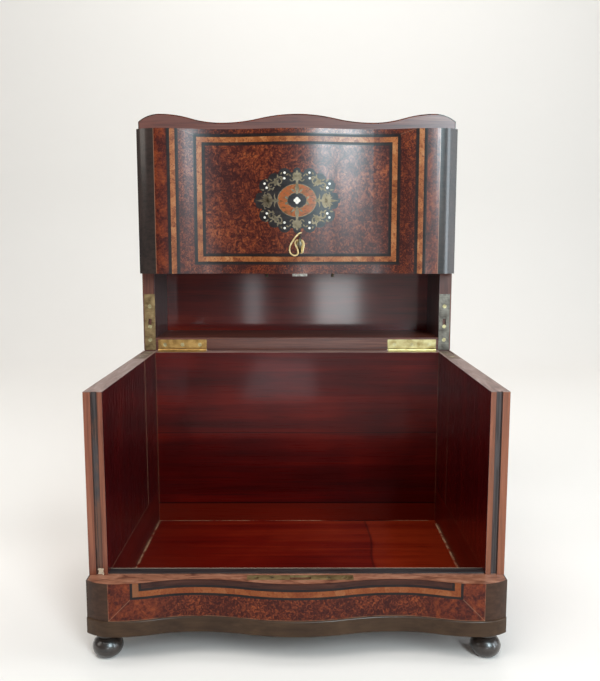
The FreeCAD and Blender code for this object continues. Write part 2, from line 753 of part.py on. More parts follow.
bit_y = (f"{chamber_y[0]} + slide_clear", f"{chamber_y[1]} - slide_clear")
stem = rod("key_stem", "stem_radius", "y", "lock_offset", ("face_y - stem_out", bit_y[1]), "key_z")
collar_y = ("face_y - stem_out", "face_y - stem_out + collar_length")
collar = rod("key_collar", "collar_radius", "y", "lock_offset", collar_y, "key_z")
bit = box("key_bit", about("lock_offset", "bit_thick / 2"), bit_y, ("key_z - bit_reach", "key_z"))
bow = doc.addObject("Part::Torus", "key_bow")
bow.setExpression("Radius1", expression("bow_radius"))
bow.setExpression("Radius2", expression("bow_wire"))
bow.Placement = FreeCAD.Placement(FreeCAD.Vector(), TURNS["x"])
place(bow, "lock_offset", "bow_y", "key_z")
keep(join("key", [stem, collar, bit, bow]))


# Front, hanging folded against the lid

front_core, front_skin = skin_pair("front", -size.panel_gap, "panel_plane", "panel_foot", "panel_height")
pegs = []
for label, sign in SIDES:
    peg_x = f"lock_offset + ({sign}) * peg_place"
    peg_z = ("panel_foot - peg_reach", "panel_foot + peg_root")
    pegs.append(rod(f"peg_{label}", "peg_radius", "z", peg_x, "lock_y", peg_z))
front_lets = [lock_blank, keyhole] + pegs + fold_rooms
for hinge in fold_leaves.values():
    front_lets += [hinge.plate] + hinge.screws
keep(cut("front_board", front_core, front_lets))
keep(group("locating_pins", pegs))

tongues = []
for label, sign in SIDES:
    near = "half_width - groove_edge - groove_width + slide_clear"
    tongue_x = across(sign, near, "half_width - groove_edge - slide_clear")
    tongue_y = ("inner_y", "inner_y + tongue_depth")
    tongue_z = ("panel_foot + tongue_margin", "panel_top - tongue_margin")
    tongues.append(box(f"tongue_{label}", tongue_x, tongue_y, tongue_z))
keep(group("dust_tongues", tongues))

front_y_span = ("face_y - overrun", "panel_plane + overrun")
front_z_span = ("panel_foot - overrun", "panel_top + overrun")


def frame_tool(name, grow):
    """A ring tool that follows the frame, with an upright strip beyond it at each end."""
    outer_z = (f"frame_foot - {grow}", f"frame_top + {grow}")
    inner_z = (f"frame_foot + {grow}", f"frame_top - {grow}")
    outer = box(f"{name}_outer", about("0", f"frame_half + {grow}"), front_y_span, outer_z)
    inner = box(f"{name}_inner", about("0", f"frame_half - {grow}"), front_y_span, inner_z)
    pieces = [cut(f"{name}_ring", outer, [inner])]
    for label, sign in SIDES:
        strip_x = about(f"({sign}) * band_place", grow)
        pieces.append(box(f"{name}_{label}", strip_x, front_y_span, front_z_span))
    return join(name, pieces)


front_band = frame_tool("front_band", "band_width / 2")
front_string = frame_tool("front_string", "(band_width / 2 + string_width)")
front_corners = []
for label, sign in SIDES:
    corner_x = across(sign, "half_width - corner_width", "half_width + overrun")
    front_corners.append(box(f"front_corner_{label}", corner_x, front_y_span, front_z_span))
liner_slot_z = ("key_z - bit_reach - liner_edge", "key_z")
liner_blank = join("liner_blank", [
    rod("liner_round", "liner_radius", "y", "lock_offset", front_y_span, "key_z"),
    box("liner_slot", about("lock_offset", "bit_thick / 2 + liner_edge"), front_y_span, liner_slot_z),
])
keep(cut("keyhole_liner", shared("liner_whole", front_skin, liner_blank), [keyhole]))


# Cartouche: a lobed dark ground with an oval ring, pearl dots, four brass palmettes and scrolls between them

ground_share = 0.87
lobe_shares = (
    (0, 0.89, 0.09),
    (0.29, 0.79, 0.15),
    (0.53, 0.64, 0.15),
    (0.74, 0.45, 0.155),
    (0.87, 0.12, 0.1),
    (0.96, 0, 0.06),
)
pearl_shares = ((0.29, 0.85), (0.295, 0.68), (0.76, 0.52), (0.71, 0.395))
scroll_shares = ((0.43, 0.6, 0.085, 60), (0.6, 0.45, 0.085, 240))
scroll_sweep = 280
petal_share = 0.45
fan_angles = (-64, -33, 0, 33, 64)
fan_shares = (0.62, 0.8, 1, 0.8, 0.62)
upright_share = 0.72


def mirrored(across_share, up_share):
    """The distinct mirror places of a point given as shares of the half width and half height."""
    for across_sign in (-1, 1) if across_share else (1,):
        for up_sign in (-1, 1) if up_share else (1,):
            x = f"({across_sign * across_share}) * cartouche_half_width"
            z = f"cartouche_z + ({up_sign * up_share}) * cartouche_half_height"
            yield x, z, across_sign, up_sign


ground_size = (f"cartouche_half_width * {ground_share}", f"cartouche_half_height * {ground_share}")
lobes = [oval("ground_oval", *ground_size, "0", front_y_span, "cartouche_z")]
for across_share, up_share, radius_share in lobe_shares:
    for x, z, across_sign, up_sign in mirrored(across_share, up_share):
        radius = f"cartouche_half_width * {radius_share}"
        lobes.append(rod(f"lobe_{len(lobes)}", radius, "y", x, front_y_span, z))
ground_tool = join("ground_tool", lobes)

ring_outer = oval("ring_outer", "ring_half_width", "ring_half_height", "0", front_y_span, "cartouche_z")
ring_inner = oval("ring_inner", "eye_half_width", "eye_half_height", "0", front_y_span, "cartouche_z")
ring_tool = cut("ring_tool", ring_outer, [ring_inner])

pearls = []
for across_share, up_share in pearl_shares:
    for x, z, across_sign, up_sign in mirrored(across_share, up_share):
        pearls.append(rod(f"pearl_{len(pearls)}", "pearl_radius", "y", x, front_y_span, z))
petals = []
for x_sign, z_sign in ((1, 0), (-1, 0), (0, 1), (0, -1)):
    x = f"({x_sign}) * pearl_radius * (1 + {petal_share})"
    z = f"cartouche_z + ({z_sign}) * pearl_radius * (1 + {petal_share})"
    petals.append(rod(f"petal_{len(petals)}", f"pearl_radius * (1 + {petal_share})", "y", x, front_y_span, z))
pearl_tool = join("pearl_tool", pearls + petals)

scrolls = []
for across_share, up_share, radius_share, opening in scroll_shares:
    for x, z, across_sign, up_sign in mirrored(across_share, up_share):
        label = f"scroll_{len(scrolls)}"
        radius = f"cartouche_half_width * {radius_share}"
        disc = rod(f"{label}_disc", radius, "y", x, front_y_span, z)
        hollow = rod(f"{label}_hollow", f"{radius} - scroll_width", "y", x, front_y_span, z)
        start = opening if across_sign * up_sign > 0 else -opening - scroll_sweep
        start = start if across_sign > 0 else start + 180
        disc.Angle = scroll_sweep
        spin = FreeCAD.Rotation(FreeCAD.Vector(0, 1, 0), start)
        disc.Placement = FreeCAD.Placement(disc.Placement.Base, spin.multiply(TURNS["y"]))
        scrolls.append(cut(label, disc, [hollow]))


def palmette(name, facing, reach, root, share):
    """A stem from the middle's side of the ring to a fan of five oval petals, facing one way round the oval.

    The stem runs from reach to root, and share gives the petals' size against the longest ones.
    """
    turn = math.radians(facing)
    if math.cos(turn) ** 2 > petal_share:
        span = (reach, root) if facing == 0 else (f"-({root})", f"-({reach})")
        stem = box(f"{name}_stem", span, front_y_span, about("cartouche_z", "stem_half_width"))
    else:
        span = (f"cartouche_z + {reach}", f"cartouche_z + {root}")
        span = span if facing > 0 else (f"cartouche_z - ({root})", f"cartouche_z - ({reach})")
        stem = box(f"{name}_stem", about("0", "stem_half_width"), front_y_span, span)
    pieces = [stem]
    for number, (angle, petal) in enumerate(zip(fan_angles, fan_shares)):
        way = math.radians(facing + angle)
        half_length = f"petal_half_length * {petal * share}"
        x = f"{round(math.cos(turn))} * ({root}) + {math.cos(way)} * {half_length}"
        z = f"cartouche_z + {round(math.sin(turn))} * ({root}) + {math.sin(way)} * {half_length}"
        leaf = oval(f"{name}_petal_{number}", half_length, "petal_half_width", x, front_y_span, z)
        leaf.Base.Placement = FreeCAD.Placement(
            leaf.Base.Placement.Base,
            FreeCAD.Rotation(FreeCAD.Vector(0, 1, 0), -facing - angle).multiply(TURNS["y"]),
        )
        pieces.append(leaf)
    return join(name, pieces)


side_root = "ring_half_width + palmette_stem"
upright_root = f"ring_half_height + palmette_stem * {upright_share}"
side_reach = "ring_half_width - stem_half_width"
upright_reach = "eye_half_height - stem_half_width"
palmettes = [
    palmette("palmette_right", 0, side_reach, side_root, 1),
    palmette("palmette_left", 180, side_reach, side_root, 1),
    palmette("palmette_top", 90, upright_reach, upright_root, upright_share),
    palmette("palmette_foot", -90, upright_reach, upright_root, upright_share),
]
scroll_tool = group("scroll_tool", scrolls + palmettes)

keep(cut("cartouche_ring", shared("ring_whole", front_skin, ring_tool), palmettes))
keep(shared("cartouche_pearls", front_skin, pearl_tool))
keep(shared("cartouche_scrolls", front_skin, scroll_tool))
ground_whole = shared("ground_whole", front_skin, ground_tool)
keep(cut("cartouche_ground", ground_whole, [ring_tool, pearl_tool] + scrolls + palmettes))


# Veneer, bands and strings of the front

keep(shared("front_banding", front_skin, front_band))
keep(cut("front_stringing", shared("front_string_whole", front_skin, front_string), [front_band]))
keep(shared("front_corner_strips", front_skin, join("front_corners", front_corners)))
veneer_lets = [front_string, ground_tool, liner_blank] + front_corners
keep(cut("front_veneer", front_skin, veneer_lets))


# Screws of each body

case_screws, lid_screws, front_screws = [], [], []
for label, sign in SIDES:
    case_screws += case_leaves[label].screws + case_stops[label].screws
    lid_screws += lid_leaves[label].screws + lid_stops[label].screws + fold_lid_leaves[label].screws
    front_screws += fold_leaves[label].screws
keep(group("case_hinge_screws", case_screws))
keep(group("lid_hinge_screws", lid_screws))
keep(group("front_hinge_screws", front_screws))


# Cord through the key's bow, as points from the bow's middle

cord_points = (
    (2.8, -4.5, -8.6),
    (3.5, -4.2, -5.0),
    (4.4, -3.4, -0.4),
    (3.4, -1.8, 3.4),
    (-1.2, -0.9, 4.6),
    (-5.2, -3.2, 2.2),
    (-4.0, -6.6, -1.8),
    (-1.9, -9.4, -5.6),
    (-1.4, -10.8, -9.8),
    (-4.6, -10.8, -12.0),
    (-8.6, -10.2, -10.4),
    (-10.6, -9.4, -6.4),
    (-9.6, -9.2, -1.2),
    (-6.8, -9.8, 3.6),
    (-3.6, -9.0, 7.8),
    (-0.6, -5.6, 10.8),
    (1.6, -1.4, 11.4),
)
bend_share = 0.45
volume_slack = 0.02


def rounded_path(points):
    """Straight runs joined by tangent arcs, each as large as its shorter run allows."""
    edges, radii = [], []
    start = points[0]
    for before, point, after in zip(points, points[1:], points[2:]):
        back, ahead = before - point, after - point
        setback = bend_share * min(back.Length, ahead.Length)
        half_angle = back.getAngle(ahead) / 2
        radius = setback * math.tan(half_angle)
        back.normalize()
        ahead.normalize()
        bisector = back + ahead
        bisector.normalize()
        enter = point + back * setback
        leave = point + ahead * setback
        crown = point + bisector * (radius / math.sin(half_angle) - radius)
        edges.append(Part.LineSegment(start, enter).toShape())
        edges.append(Part.Arc(enter, crown, leave).toShape())
        radii.append(round(radius, 1))
        start = leave
    edges.append(Part.LineSegment(start, points[-1]).toShape())
    return Part.Wire(edges), radii


bow_middle = FreeCAD.Vector(size.lock_offset, size.bow_y, size.key_z)
route, bend_radii = rounded_path([bow_middle + FreeCAD.Vector(*point) for point in cord_points])
first_edge = route.Edges[0]
ring = Part.Wire(Part.makeCircle(size.cord_radius, first_edge.valueAt(0), first_edge.tangentAt(0)))
cord = doc.addObject("Part::Feature", "key_cord")
cord.Shape = route.makePipeShell([ring], True, False)
expected = math.pi * size.cord_radius**2 * route.Length
print("cord length", round(route.Length, 1), "bend radii", bend_radii)
if abs(cord.Shape.Volume / expected - 1) > volume_slack:
    raise SystemExit("the cord's volume is off")
keep(cord)


# Check and write

doc.recompute()
faults = [item.Name for item in doc.Objects if {"Invalid", "Error"} & set(item.State)]
for item in nodes:
    if item.Shape.isNull() or not item.Shape.isValid() or not item.Shape.Solids:
        faults.append(item.Label)
if faults:
    raise SystemExit(f"not sound: {faults}")
os.makedirs("parts", exist_ok=True)
for item in nodes:
    item.Shape.exportStep(f"parts/{item.Label}.step")
print("pieces", len(nodes), "solids", sum(len(item.Shape.Solids) for item in nodes))
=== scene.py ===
import bmesh
import bpy
import math
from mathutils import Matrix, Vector
from mathutils.bvhtree import BVHTree


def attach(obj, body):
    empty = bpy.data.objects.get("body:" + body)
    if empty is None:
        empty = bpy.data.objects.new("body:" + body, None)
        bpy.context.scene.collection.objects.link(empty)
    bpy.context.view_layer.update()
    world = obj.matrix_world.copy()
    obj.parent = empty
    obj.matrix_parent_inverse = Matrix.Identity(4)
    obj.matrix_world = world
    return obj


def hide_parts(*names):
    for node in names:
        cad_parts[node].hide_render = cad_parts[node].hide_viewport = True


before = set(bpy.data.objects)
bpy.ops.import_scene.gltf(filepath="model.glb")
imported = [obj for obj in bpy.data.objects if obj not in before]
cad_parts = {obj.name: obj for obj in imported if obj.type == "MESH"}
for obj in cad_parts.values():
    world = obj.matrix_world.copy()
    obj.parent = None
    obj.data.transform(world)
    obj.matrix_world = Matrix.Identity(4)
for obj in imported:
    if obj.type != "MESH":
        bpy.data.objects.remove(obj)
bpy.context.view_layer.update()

# STUDIO
# A pale sweep of paper under and far behind the casket, a tall window lamp at the right and
# soft fills above, beside and low in front. Cards and panes are seen only in the polish, as
# the window and the pale room that the front and the recess mirror.
PAPER, PAPER_ROUGH = (0.84, 0.82, 0.79, 1), 0.9
SWEEP_FRONT, SWEEP_BACK, SWEEP_BEND = -3.0, 1.7, 0.5
SWEEP_HALF, SWEEP_HEIGHT, SWEEP_STEPS = 3.6, 3.0, 14
WINDOW_PLACE, WINDOW_AIM = (0.62, -1.40, 0.98), (0.03, 0.05, 0.40)
ROOM_COLOUR, ROOM_STRENGTH = (0.62, 0.61, 0.61, 1), 0.28
SENSOR, FOCAL_PIXELS, PICTURE_PIXELS = 36, 738.15, 681
CAMERA_PLACE = (0.001378, -0.70480, 0.32356)
CAMERA_TILT, CAMERA_PAN = 82.746, -0.123

sweep_line = [(SWEEP_FRONT, 0.0)]
for step in range(SWEEP_STEPS + 1):
    turn = math.pi / 2 * step / SWEEP_STEPS
    sweep_line.append((SWEEP_BACK - SWEEP_BEND + SWEEP_BEND * math.sin(turn),
                       SWEEP_BEND - SWEEP_BEND * math.cos(turn)))
sweep_line.append((SWEEP_BACK, SWEEP_HEIGHT))
sweep_mesh = bpy.data.meshes.new("paper_sweep")
sweep_mesh.from_pydata(
    [(side * SWEEP_HALF, y, z) for y, z in sweep_line for side in (-1, 1)], [],
    [(2 * i, 2 * i + 1, 2 * i + 3, 2 * i + 2) for i in range(len(sweep_line) - 1)])
sweep_mesh.polygons.foreach_set("use_smooth", [True] * len(sweep_mesh.polygons))
paper = bpy.data.materials.new("paper")
paper.use_nodes = True
paper_shader = paper.node_tree.nodes["Principled BSDF"]
paper_shader.inputs["Base Color"].default_value = PAPER
paper_shader.inputs["Roughness"].default_value = PAPER_ROUGH
sweep_mesh.materials.append(paper)
sweep = bpy.data.objects.new("paper_sweep", sweep_mesh)
bpy.context.scene.collection.objects.link(sweep)


def lamp(name, place, aim, width, height, power, colour, mirrored_only=False):
    """A soft oblong lamp at place that shines on aim, or a card that only polish mirrors."""
    data = bpy.data.lights.new(name, "AREA")
    data.shape = "RECTANGLE"
    data.size, data.size_y = width, height
    data.energy = power
    data.color = colour
    made = bpy.data.objects.new(name, data)
    made.location = place
    made.rotation_euler = (Vector(aim) - Vector(place)).to_track_quat("-Z", "Y").to_euler()
    made.visible_camera = False
    made.visible_diffuse = not mirrored_only
    bpy.context.scene.collection.objects.link(made)


lamp("window_lamp", WINDOW_PLACE, WINDOW_AIM, 0.46, 0.86, 15, (0.86, 0.95, 1.0))
lamp("window_card", WINDOW_PLACE, WINDOW_AIM, 0.42, 0.80, 50, (0.62, 0.90, 1.0), True)
lamp("side_card", (1.60, -1.00, 0.55), (0.15, 0.07, 0.37), 0.34, 1.2, 14,
     (0.80, 0.92, 1.0), True)
lamp("low_lamp", (0.42, -1.50, 0.26), (0, 0, 0.26), 0.90, 0.48, 1.2, (1.0, 0.98, 0.96))
lamp("right_pane", (0.133, -1.50, 0.134), (0.05, 0.16, 0.26), 0.14, 0.17, 0.9,
     (0.95, 0.98, 1.0), True)
lamp("left_pane", (-0.153, -1.50, 0.12), (-0.05, 0.16, 0.26), 0.05, 0.20, 0.22,
     (0.92, 0.97, 1.0), True)
lamp("floor_card", (-0.04, -1.0, 0.003), (-0.04, -1.0, 1.0), 0.16, 0.60, 1.8,
     (0.82, 0.92, 1.0), True)
lamp("over_lamp", (-0.30, -0.95, 1.90), (0, 0, 0.10), 1.5, 0.9, 18, (1.0, 0.98, 0.95))
lamp("left_lamp", (-1.65, -0.70, 1.05), (0, 0, 0.2), 0.7, 1.0, 6, (1.0, 0.94, 0.86))
lamp("right_lamp", (1.75, -0.35, 0.62), (0, 0, 0.25), 0.8, 1.1, 9, (0.86, 0.94, 1.0))
lamp("wall_lamp", (0.0, 0.1, 2.6), (0, 1.6, 0.7), 3.0, 0.5, 20, (1.0, 0.985, 0.96))
lamp("rear_lamp", (0.2, 1.35, 1.7), (0, 0.1, 0.2), 1.4, 0.6, 9, (1.0, 0.98, 0.96))

world = bpy.data.worlds.new("room")
world.use_nodes = True
room = world.node_tree.nodes["Background"]
room.inputs["Color"].default_value = ROOM_COLOUR
room.inputs["Strength"].default_value = ROOM_STRENGTH
bpy.context.scene.world = world
bpy.context.scene.view_settings.view_transform = "Standard"

camera = bpy.data.objects.new("camera", bpy.data.cameras.new("camera"))
camera.data.sensor_width = SENSOR
camera.data.lens = SENSOR * FOCAL_PIXELS / PICTURE_PIXELS
camera.location = CAMERA_PLACE
camera.rotation_euler = (math.radians(CAMERA_TILT), 0, math.radians(CAMERA_PAN))
bpy.context.scene.collection.objects.link(camera)
bpy.context.scene.camera = camera


# CASE BOARDS
# Floor, two side walls and a back of two boards, solid mahogany under a deep red
# polish inside. The walls' edges are faced with rosewood and grooved for the front.
class Field:
    """A socket in a finish's node tree that can be reckoned with."""

    def __init__(self, finish, socket):
        self.finish = finish
        self.socket = socket

    def math(self, operation, other=0.0, swap=False):
        pair = [other, self] if swap else [self, other]
        return self.finish.node("Math", pair, operation=operation)

    def __add__(self, other):
        return self.math("ADD", other)

    def __sub__(self, other):
        return self.math("SUBTRACT", other)

    def __rsub__(self, other):
        return self.math("SUBTRACT", other, True)

    def __mul__(self, other):
        return self.math("MULTIPLY", other)

    def __gt__(self, other):
        return self.math("GREATER_THAN", other)

    def __lt__(self, other):
        return self.math("LESS_THAN", other)

    def __abs__(self):
        return self.math("ABSOLUTE")


class Finish:
    """A material and the nodes that make it."""

    def __init__(self, name, **even):
        self.material = bpy.data.materials.new(name)
        self.material.use_nodes = True
        self.tree = self.material.node_tree
        self.shader = self.tree.nodes["Principled BSDF"]
        self.give(**even)

    def node(self, kind, inputs=(), output=0, stops=(), **settings):
        made = self.tree.nodes.new("ShaderNode" + kind)
        for setting, value in settings.items():
            setattr(made, setting, value)
        for place, colour in stops:
            stop = made.color_ramp.elements.new(place)
            stop.color = colour
        if stops:
            made.color_ramp.elements.remove(made.color_ramp.elements[0])
            made.color_ramp.elements.remove(made.color_ramp.elements[-1])
        named = inputs.items() if isinstance(inputs, dict) else enumerate(inputs)
        for key, value in named:
            if isinstance(value, Field):
                self.tree.links.new(value.socket, made.inputs[key])
            else:
                made.inputs[key].default_value = value
        return Field(self, made.outputs[output])

    def give(self, **sockets):
        for key, value in sockets.items():
            socket = self.shader.inputs[key.replace("_", " ")]
            if isinstance(value, Field):
                self.tree.links.new(value.socket, socket)
            else:
                socket.default_value = value

    def place(self):
        return self.node("TexCoord", output=3)

    def axes(self):
        split = self.node("SeparateXYZ", [self.place()])
        return [Field(self, socket) for socket in split.socket.node.outputs]

    def noise(self, stretch, detail=4, rough=0.55, warp=0.0, shift=(0, 0, 0)):
        held = self.node("Mapping", {"Vector": self.place(), "Scale": stretch, "Location": shift})
        return self.node("TexNoise", {"Vector": held, "Scale": 1.0, "Detail": detail,
                                      "Roughness": rough, "Distortion": warp})

    def cells(self, size):
        """A share from 0 to 1 that is even in each of many small patches."""
        colour = self.node("TexVoronoi", {"Vector": self.place(), "Scale": size}, "Color")
        return self.node("SeparateColor", [colour])

    def ramp(self, value, *stops):
        return self.node("ValToRGB", [value], stops=stops)

    def mix(self, share, low, high):
        return self.node("Mix", {0: share, 6: low, 7: high}, 2, data_type="RGBA")

    def rise(self, value, low, high):
        return self.node("MapRange", [value, low, high], interpolation_type="SMOOTHSTEP")

    def line(self, value, at, half, soft):
        """One on a thin line where value is at, fading to zero beside it."""
        return 1 - self.rise(abs(value - at), half, half + soft)

    def bump(self, height, depth):
        return self.node("Bump", {"Height": height, "Distance": depth, "Strength": 1.0})


def tint(red, green, blue):
    """A colour as the eye writes it, 0 to 255, in the light's own scale."""
    return tuple((part / 255) ** 2.2 for part in (red, green, blue)) + (1,)


def dress(finish, *names):
    """Gives pieces of the frame a finish."""
    for name in names:
        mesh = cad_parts[name].data
        mesh.materials.clear()
        mesh.materials.append(finish.material)


def along(axis, near, far):
    """A stretch for wood whose grain runs along one axis: far down it, near across it."""
    return tuple(far if axis == each else near for each in "xyz")


def mahogany_colour(finish, axis, shift=(0, 0, 0), light=0.0):
    """Deep red polished mahogany with fine dark pores and broad ribbons."""
    ribbon = finish.noise(along(axis, 70, 3.0), 4, 0.55, 0.5, shift)
    pores = finish.noise(along(axis, 800, 22), 3, 0.6, 0.0, shift)
    cloud = finish.noise((8, 8, 8), 3, 0.5, 0.4, shift)
    ground = finish.ramp(ribbon * 0.55 + cloud * 0.45 + light, (0.32, tint(50, 6, 5)),
                         (0.46, tint(72, 10, 7)), (0.60, tint(96, 20, 10)),
                         (0.78, tint(124, 40, 20)))
    dark = finish.rise(pores, 0.50, 0.74)
    return finish.mix(dark * 0.5, ground, tint(36, 4, 4)), pores


def rosewood_colour(finish, axis, shift=(0, 0, 0)):
    """Brown-violet rosewood with near-black streaks."""
    streak = finish.noise(along(axis, 210, 8), 5, 0.62, 1.2, shift)
    fibre = finish.noise(along(axis, 1200, 34), 3, 0.6, 0.0, shift)
    ground = finish.ramp(streak, (0.32, tint(54, 27, 22)), (0.46, tint(104, 56, 42)),
                         (0.58, tint(128, 76, 58)), (0.72, tint(146, 94, 72)))
    return finish.mix(finish.rise(fibre, 0.48, 0.74) * 0.45, ground, tint(56, 30, 26)), fibre


POLISH = dict(Coat_Roughness=0.16, Coat_IOR=1.5, Specular_IOR_Level=0.25)
INNER_POLISH = dict(Coat_Roughness=0.10, Coat_IOR=1.5, Specular_IOR_Level=0.08)
PORE_DEPTH, GRAIN_DEPTH = 0.00003, 0.00004
# A pale colour for real wear on the floor and plinth, and for the painted highlight on the walls'
# inner seams.
PALE_WEAR_AND_HIGHLIGHT = tint(178, 146, 116)
STAINED = tint(74, 42, 32)
WALL_INNER, WALL_OUTER = 0.1502, 0.1647
WALL_TOP, BACK_OUTER = 0.2122, 0.0835
BACK_JOINT, BACK_JOINT_WIDTH = 0.1255, (0.0002, 0.0006)
BACK_CORNER = (0.1488, 0.1500)
# The height of the painted floor reflection on the back boards, and the painted dark line along its
# top.
REFLECTED_FLOOR_TOP, REFLECTED_FLOOR_EDGE, REFLECTED_EDGE_WIDTH = 0.0470, 0.0475, (0.0003, 0.0009)
FLOOR_JOINT, FLOOR_SPLIT, SPLIT_WIDTH = (0.079, 0.084), 0.080, (0.0002, 0.0016)
FLOOR_SWAY, FLOOR_UNDER = 0.012, 0.0225
FLOOR_RUB_X, FLOOR_RUB_Y = (0.1478, 0.1490), (0.0672, 0.0682)
GAP_Y, GAP_START, GAP_END = (0.0664, 0.0674), (0.02, 0.05), (0.09, 0.12)
GROOVE_NEAR, GROOVE_FAR, GROOVE_FOOT = 0.1544, 0.1592, -0.1436
# How far the painted shade reaches beyond the groove's lips, and where it stops near the foot.
GROOVE_SHADE_REACH, GROOVE_SHADE_FOOT = 0.0003, -0.1440
SEAM_Y, SEAM_Z = 0.0138, 0.0648
SEAM_WIDTH, SEAM_FOOT_WIDTH = (0.0005, 0.0006), (0.0002, 0.0007)
STRING_Y, STRING_Z, STRING_HALF_Y, STRING_HALF_Z = -0.031, 0.1385, 0.098, 0.058
STRING_WIDE, STRING_SOFT = 0.0012, 0.0001
CHIP_X, CHIP_HALF, CHIP_FRONT, CHIP_TOP, CHIP_RAGGED = 0.1558, 0.0052, -0.139, 0.0722, 0.006
PLINTH_FOOT, PLINTH_SEAM, PLINTH_SEAM_WIDTH = 0.0345, 0.0279, (0.0001, 0.0008)

for back_board in ("wall_back_lower", "wall_back_upper"):
    red = Finish(back_board + "_mahogany", **INNER_POLISH)
    x, y, z = red.axes()
    colour, pores = mahogany_colour(red, "x", (3.1, 0.7 * len(back_board), 1.3), -0.03)
    joint = red.line(z, BACK_JOINT, *BACK_JOINT_WIDTH)
    colour = red.mix(joint * 0.7, colour, tint(24, 3, 4))
    corner_rub = red.rise(abs(x), *BACK_CORNER) * red.noise((90, 90, 60), 3, 0.6)
    colour = red.mix(corner_rub * 0.6, colour, tint(140, 96, 72))
    # Painted reflection: the floor mirrored in the back's polish as a redder band along its foot,
    # under a painted dark line for the floor edge's reflection and shadow.
    reflected_floor = z < REFLECTED_FLOOR_TOP
    colour = red.mix(reflected_floor * 0.55, colour, tint(100, 28, 12))
    reflected_floor_edge = red.line(z, REFLECTED_FLOOR_EDGE, *REFLECTED_EDGE_WIDTH)
    colour = red.mix(reflected_floor_edge * 0.7, colour, tint(20, 2, 3))
    worn = red.ramp(red.noise((30, 200, 200), 4, 0.6), (0.35, tint(104, 78, 74)),
                    (0.65, tint(146, 116, 108)))
    colour = red.mix(z > WALL_TOP, colour, worn)
    rear_face = y > BACK_OUTER
    coarse = red.ramp(pores, (0.35, tint(58, 33, 25)), (0.65, tint(92, 56, 42)))
    red.give(Base_Color=red.mix(rear_face, colour, coarse),
             Roughness=pores * 0.2 + 0.2 + rear_face * 0.3, Coat_Weight=0.14 - rear_face * 0.10,
             Normal=red.bump(pores, PORE_DEPTH))
    dress(red, back_board)

floor = Finish("floor_mahogany", Coat_Weight=0.4, **INNER_POLISH)
x, y, z = floor.axes()
swayed = x + floor.noise((1, 12, 1), 1, 0.4) * FLOOR_SWAY
right_part = floor.rise(swayed, *FLOOR_JOINT)
colour, pores = mahogany_colour(floor, "x", (1.0, 2.0, 0), right_part * 0.13 + 0.13)
split = floor.line(swayed, FLOOR_SPLIT, *SPLIT_WIDTH)
colour = floor.mix(split * 0.45, colour, tint(22, 4, 4))
rubbed = floor.rise(abs(x), *FLOOR_RUB_X) + floor.rise(y, *FLOOR_RUB_Y)
rubbed = rubbed * floor.rise(floor.noise((70, 70, 70), 4, 0.65), 0.36, 0.60)
colour = floor.mix(rubbed * 0.75, colour, PALE_WEAR_AND_HIGHLIGHT)
gap = floor.rise(y, *GAP_Y) * floor.rise(x, *GAP_START) * (1 - floor.rise(x, *GAP_END))
colour = floor.mix(gap, colour, tint(16, 3, 3))
floor.give(Base_Color=floor.mix(z < FLOOR_UNDER, colour, STAINED), Roughness=pores * 0.2 + 0.22,
           Normal=floor.bump(pores, PORE_DEPTH))
dress(floor, "floor_board")

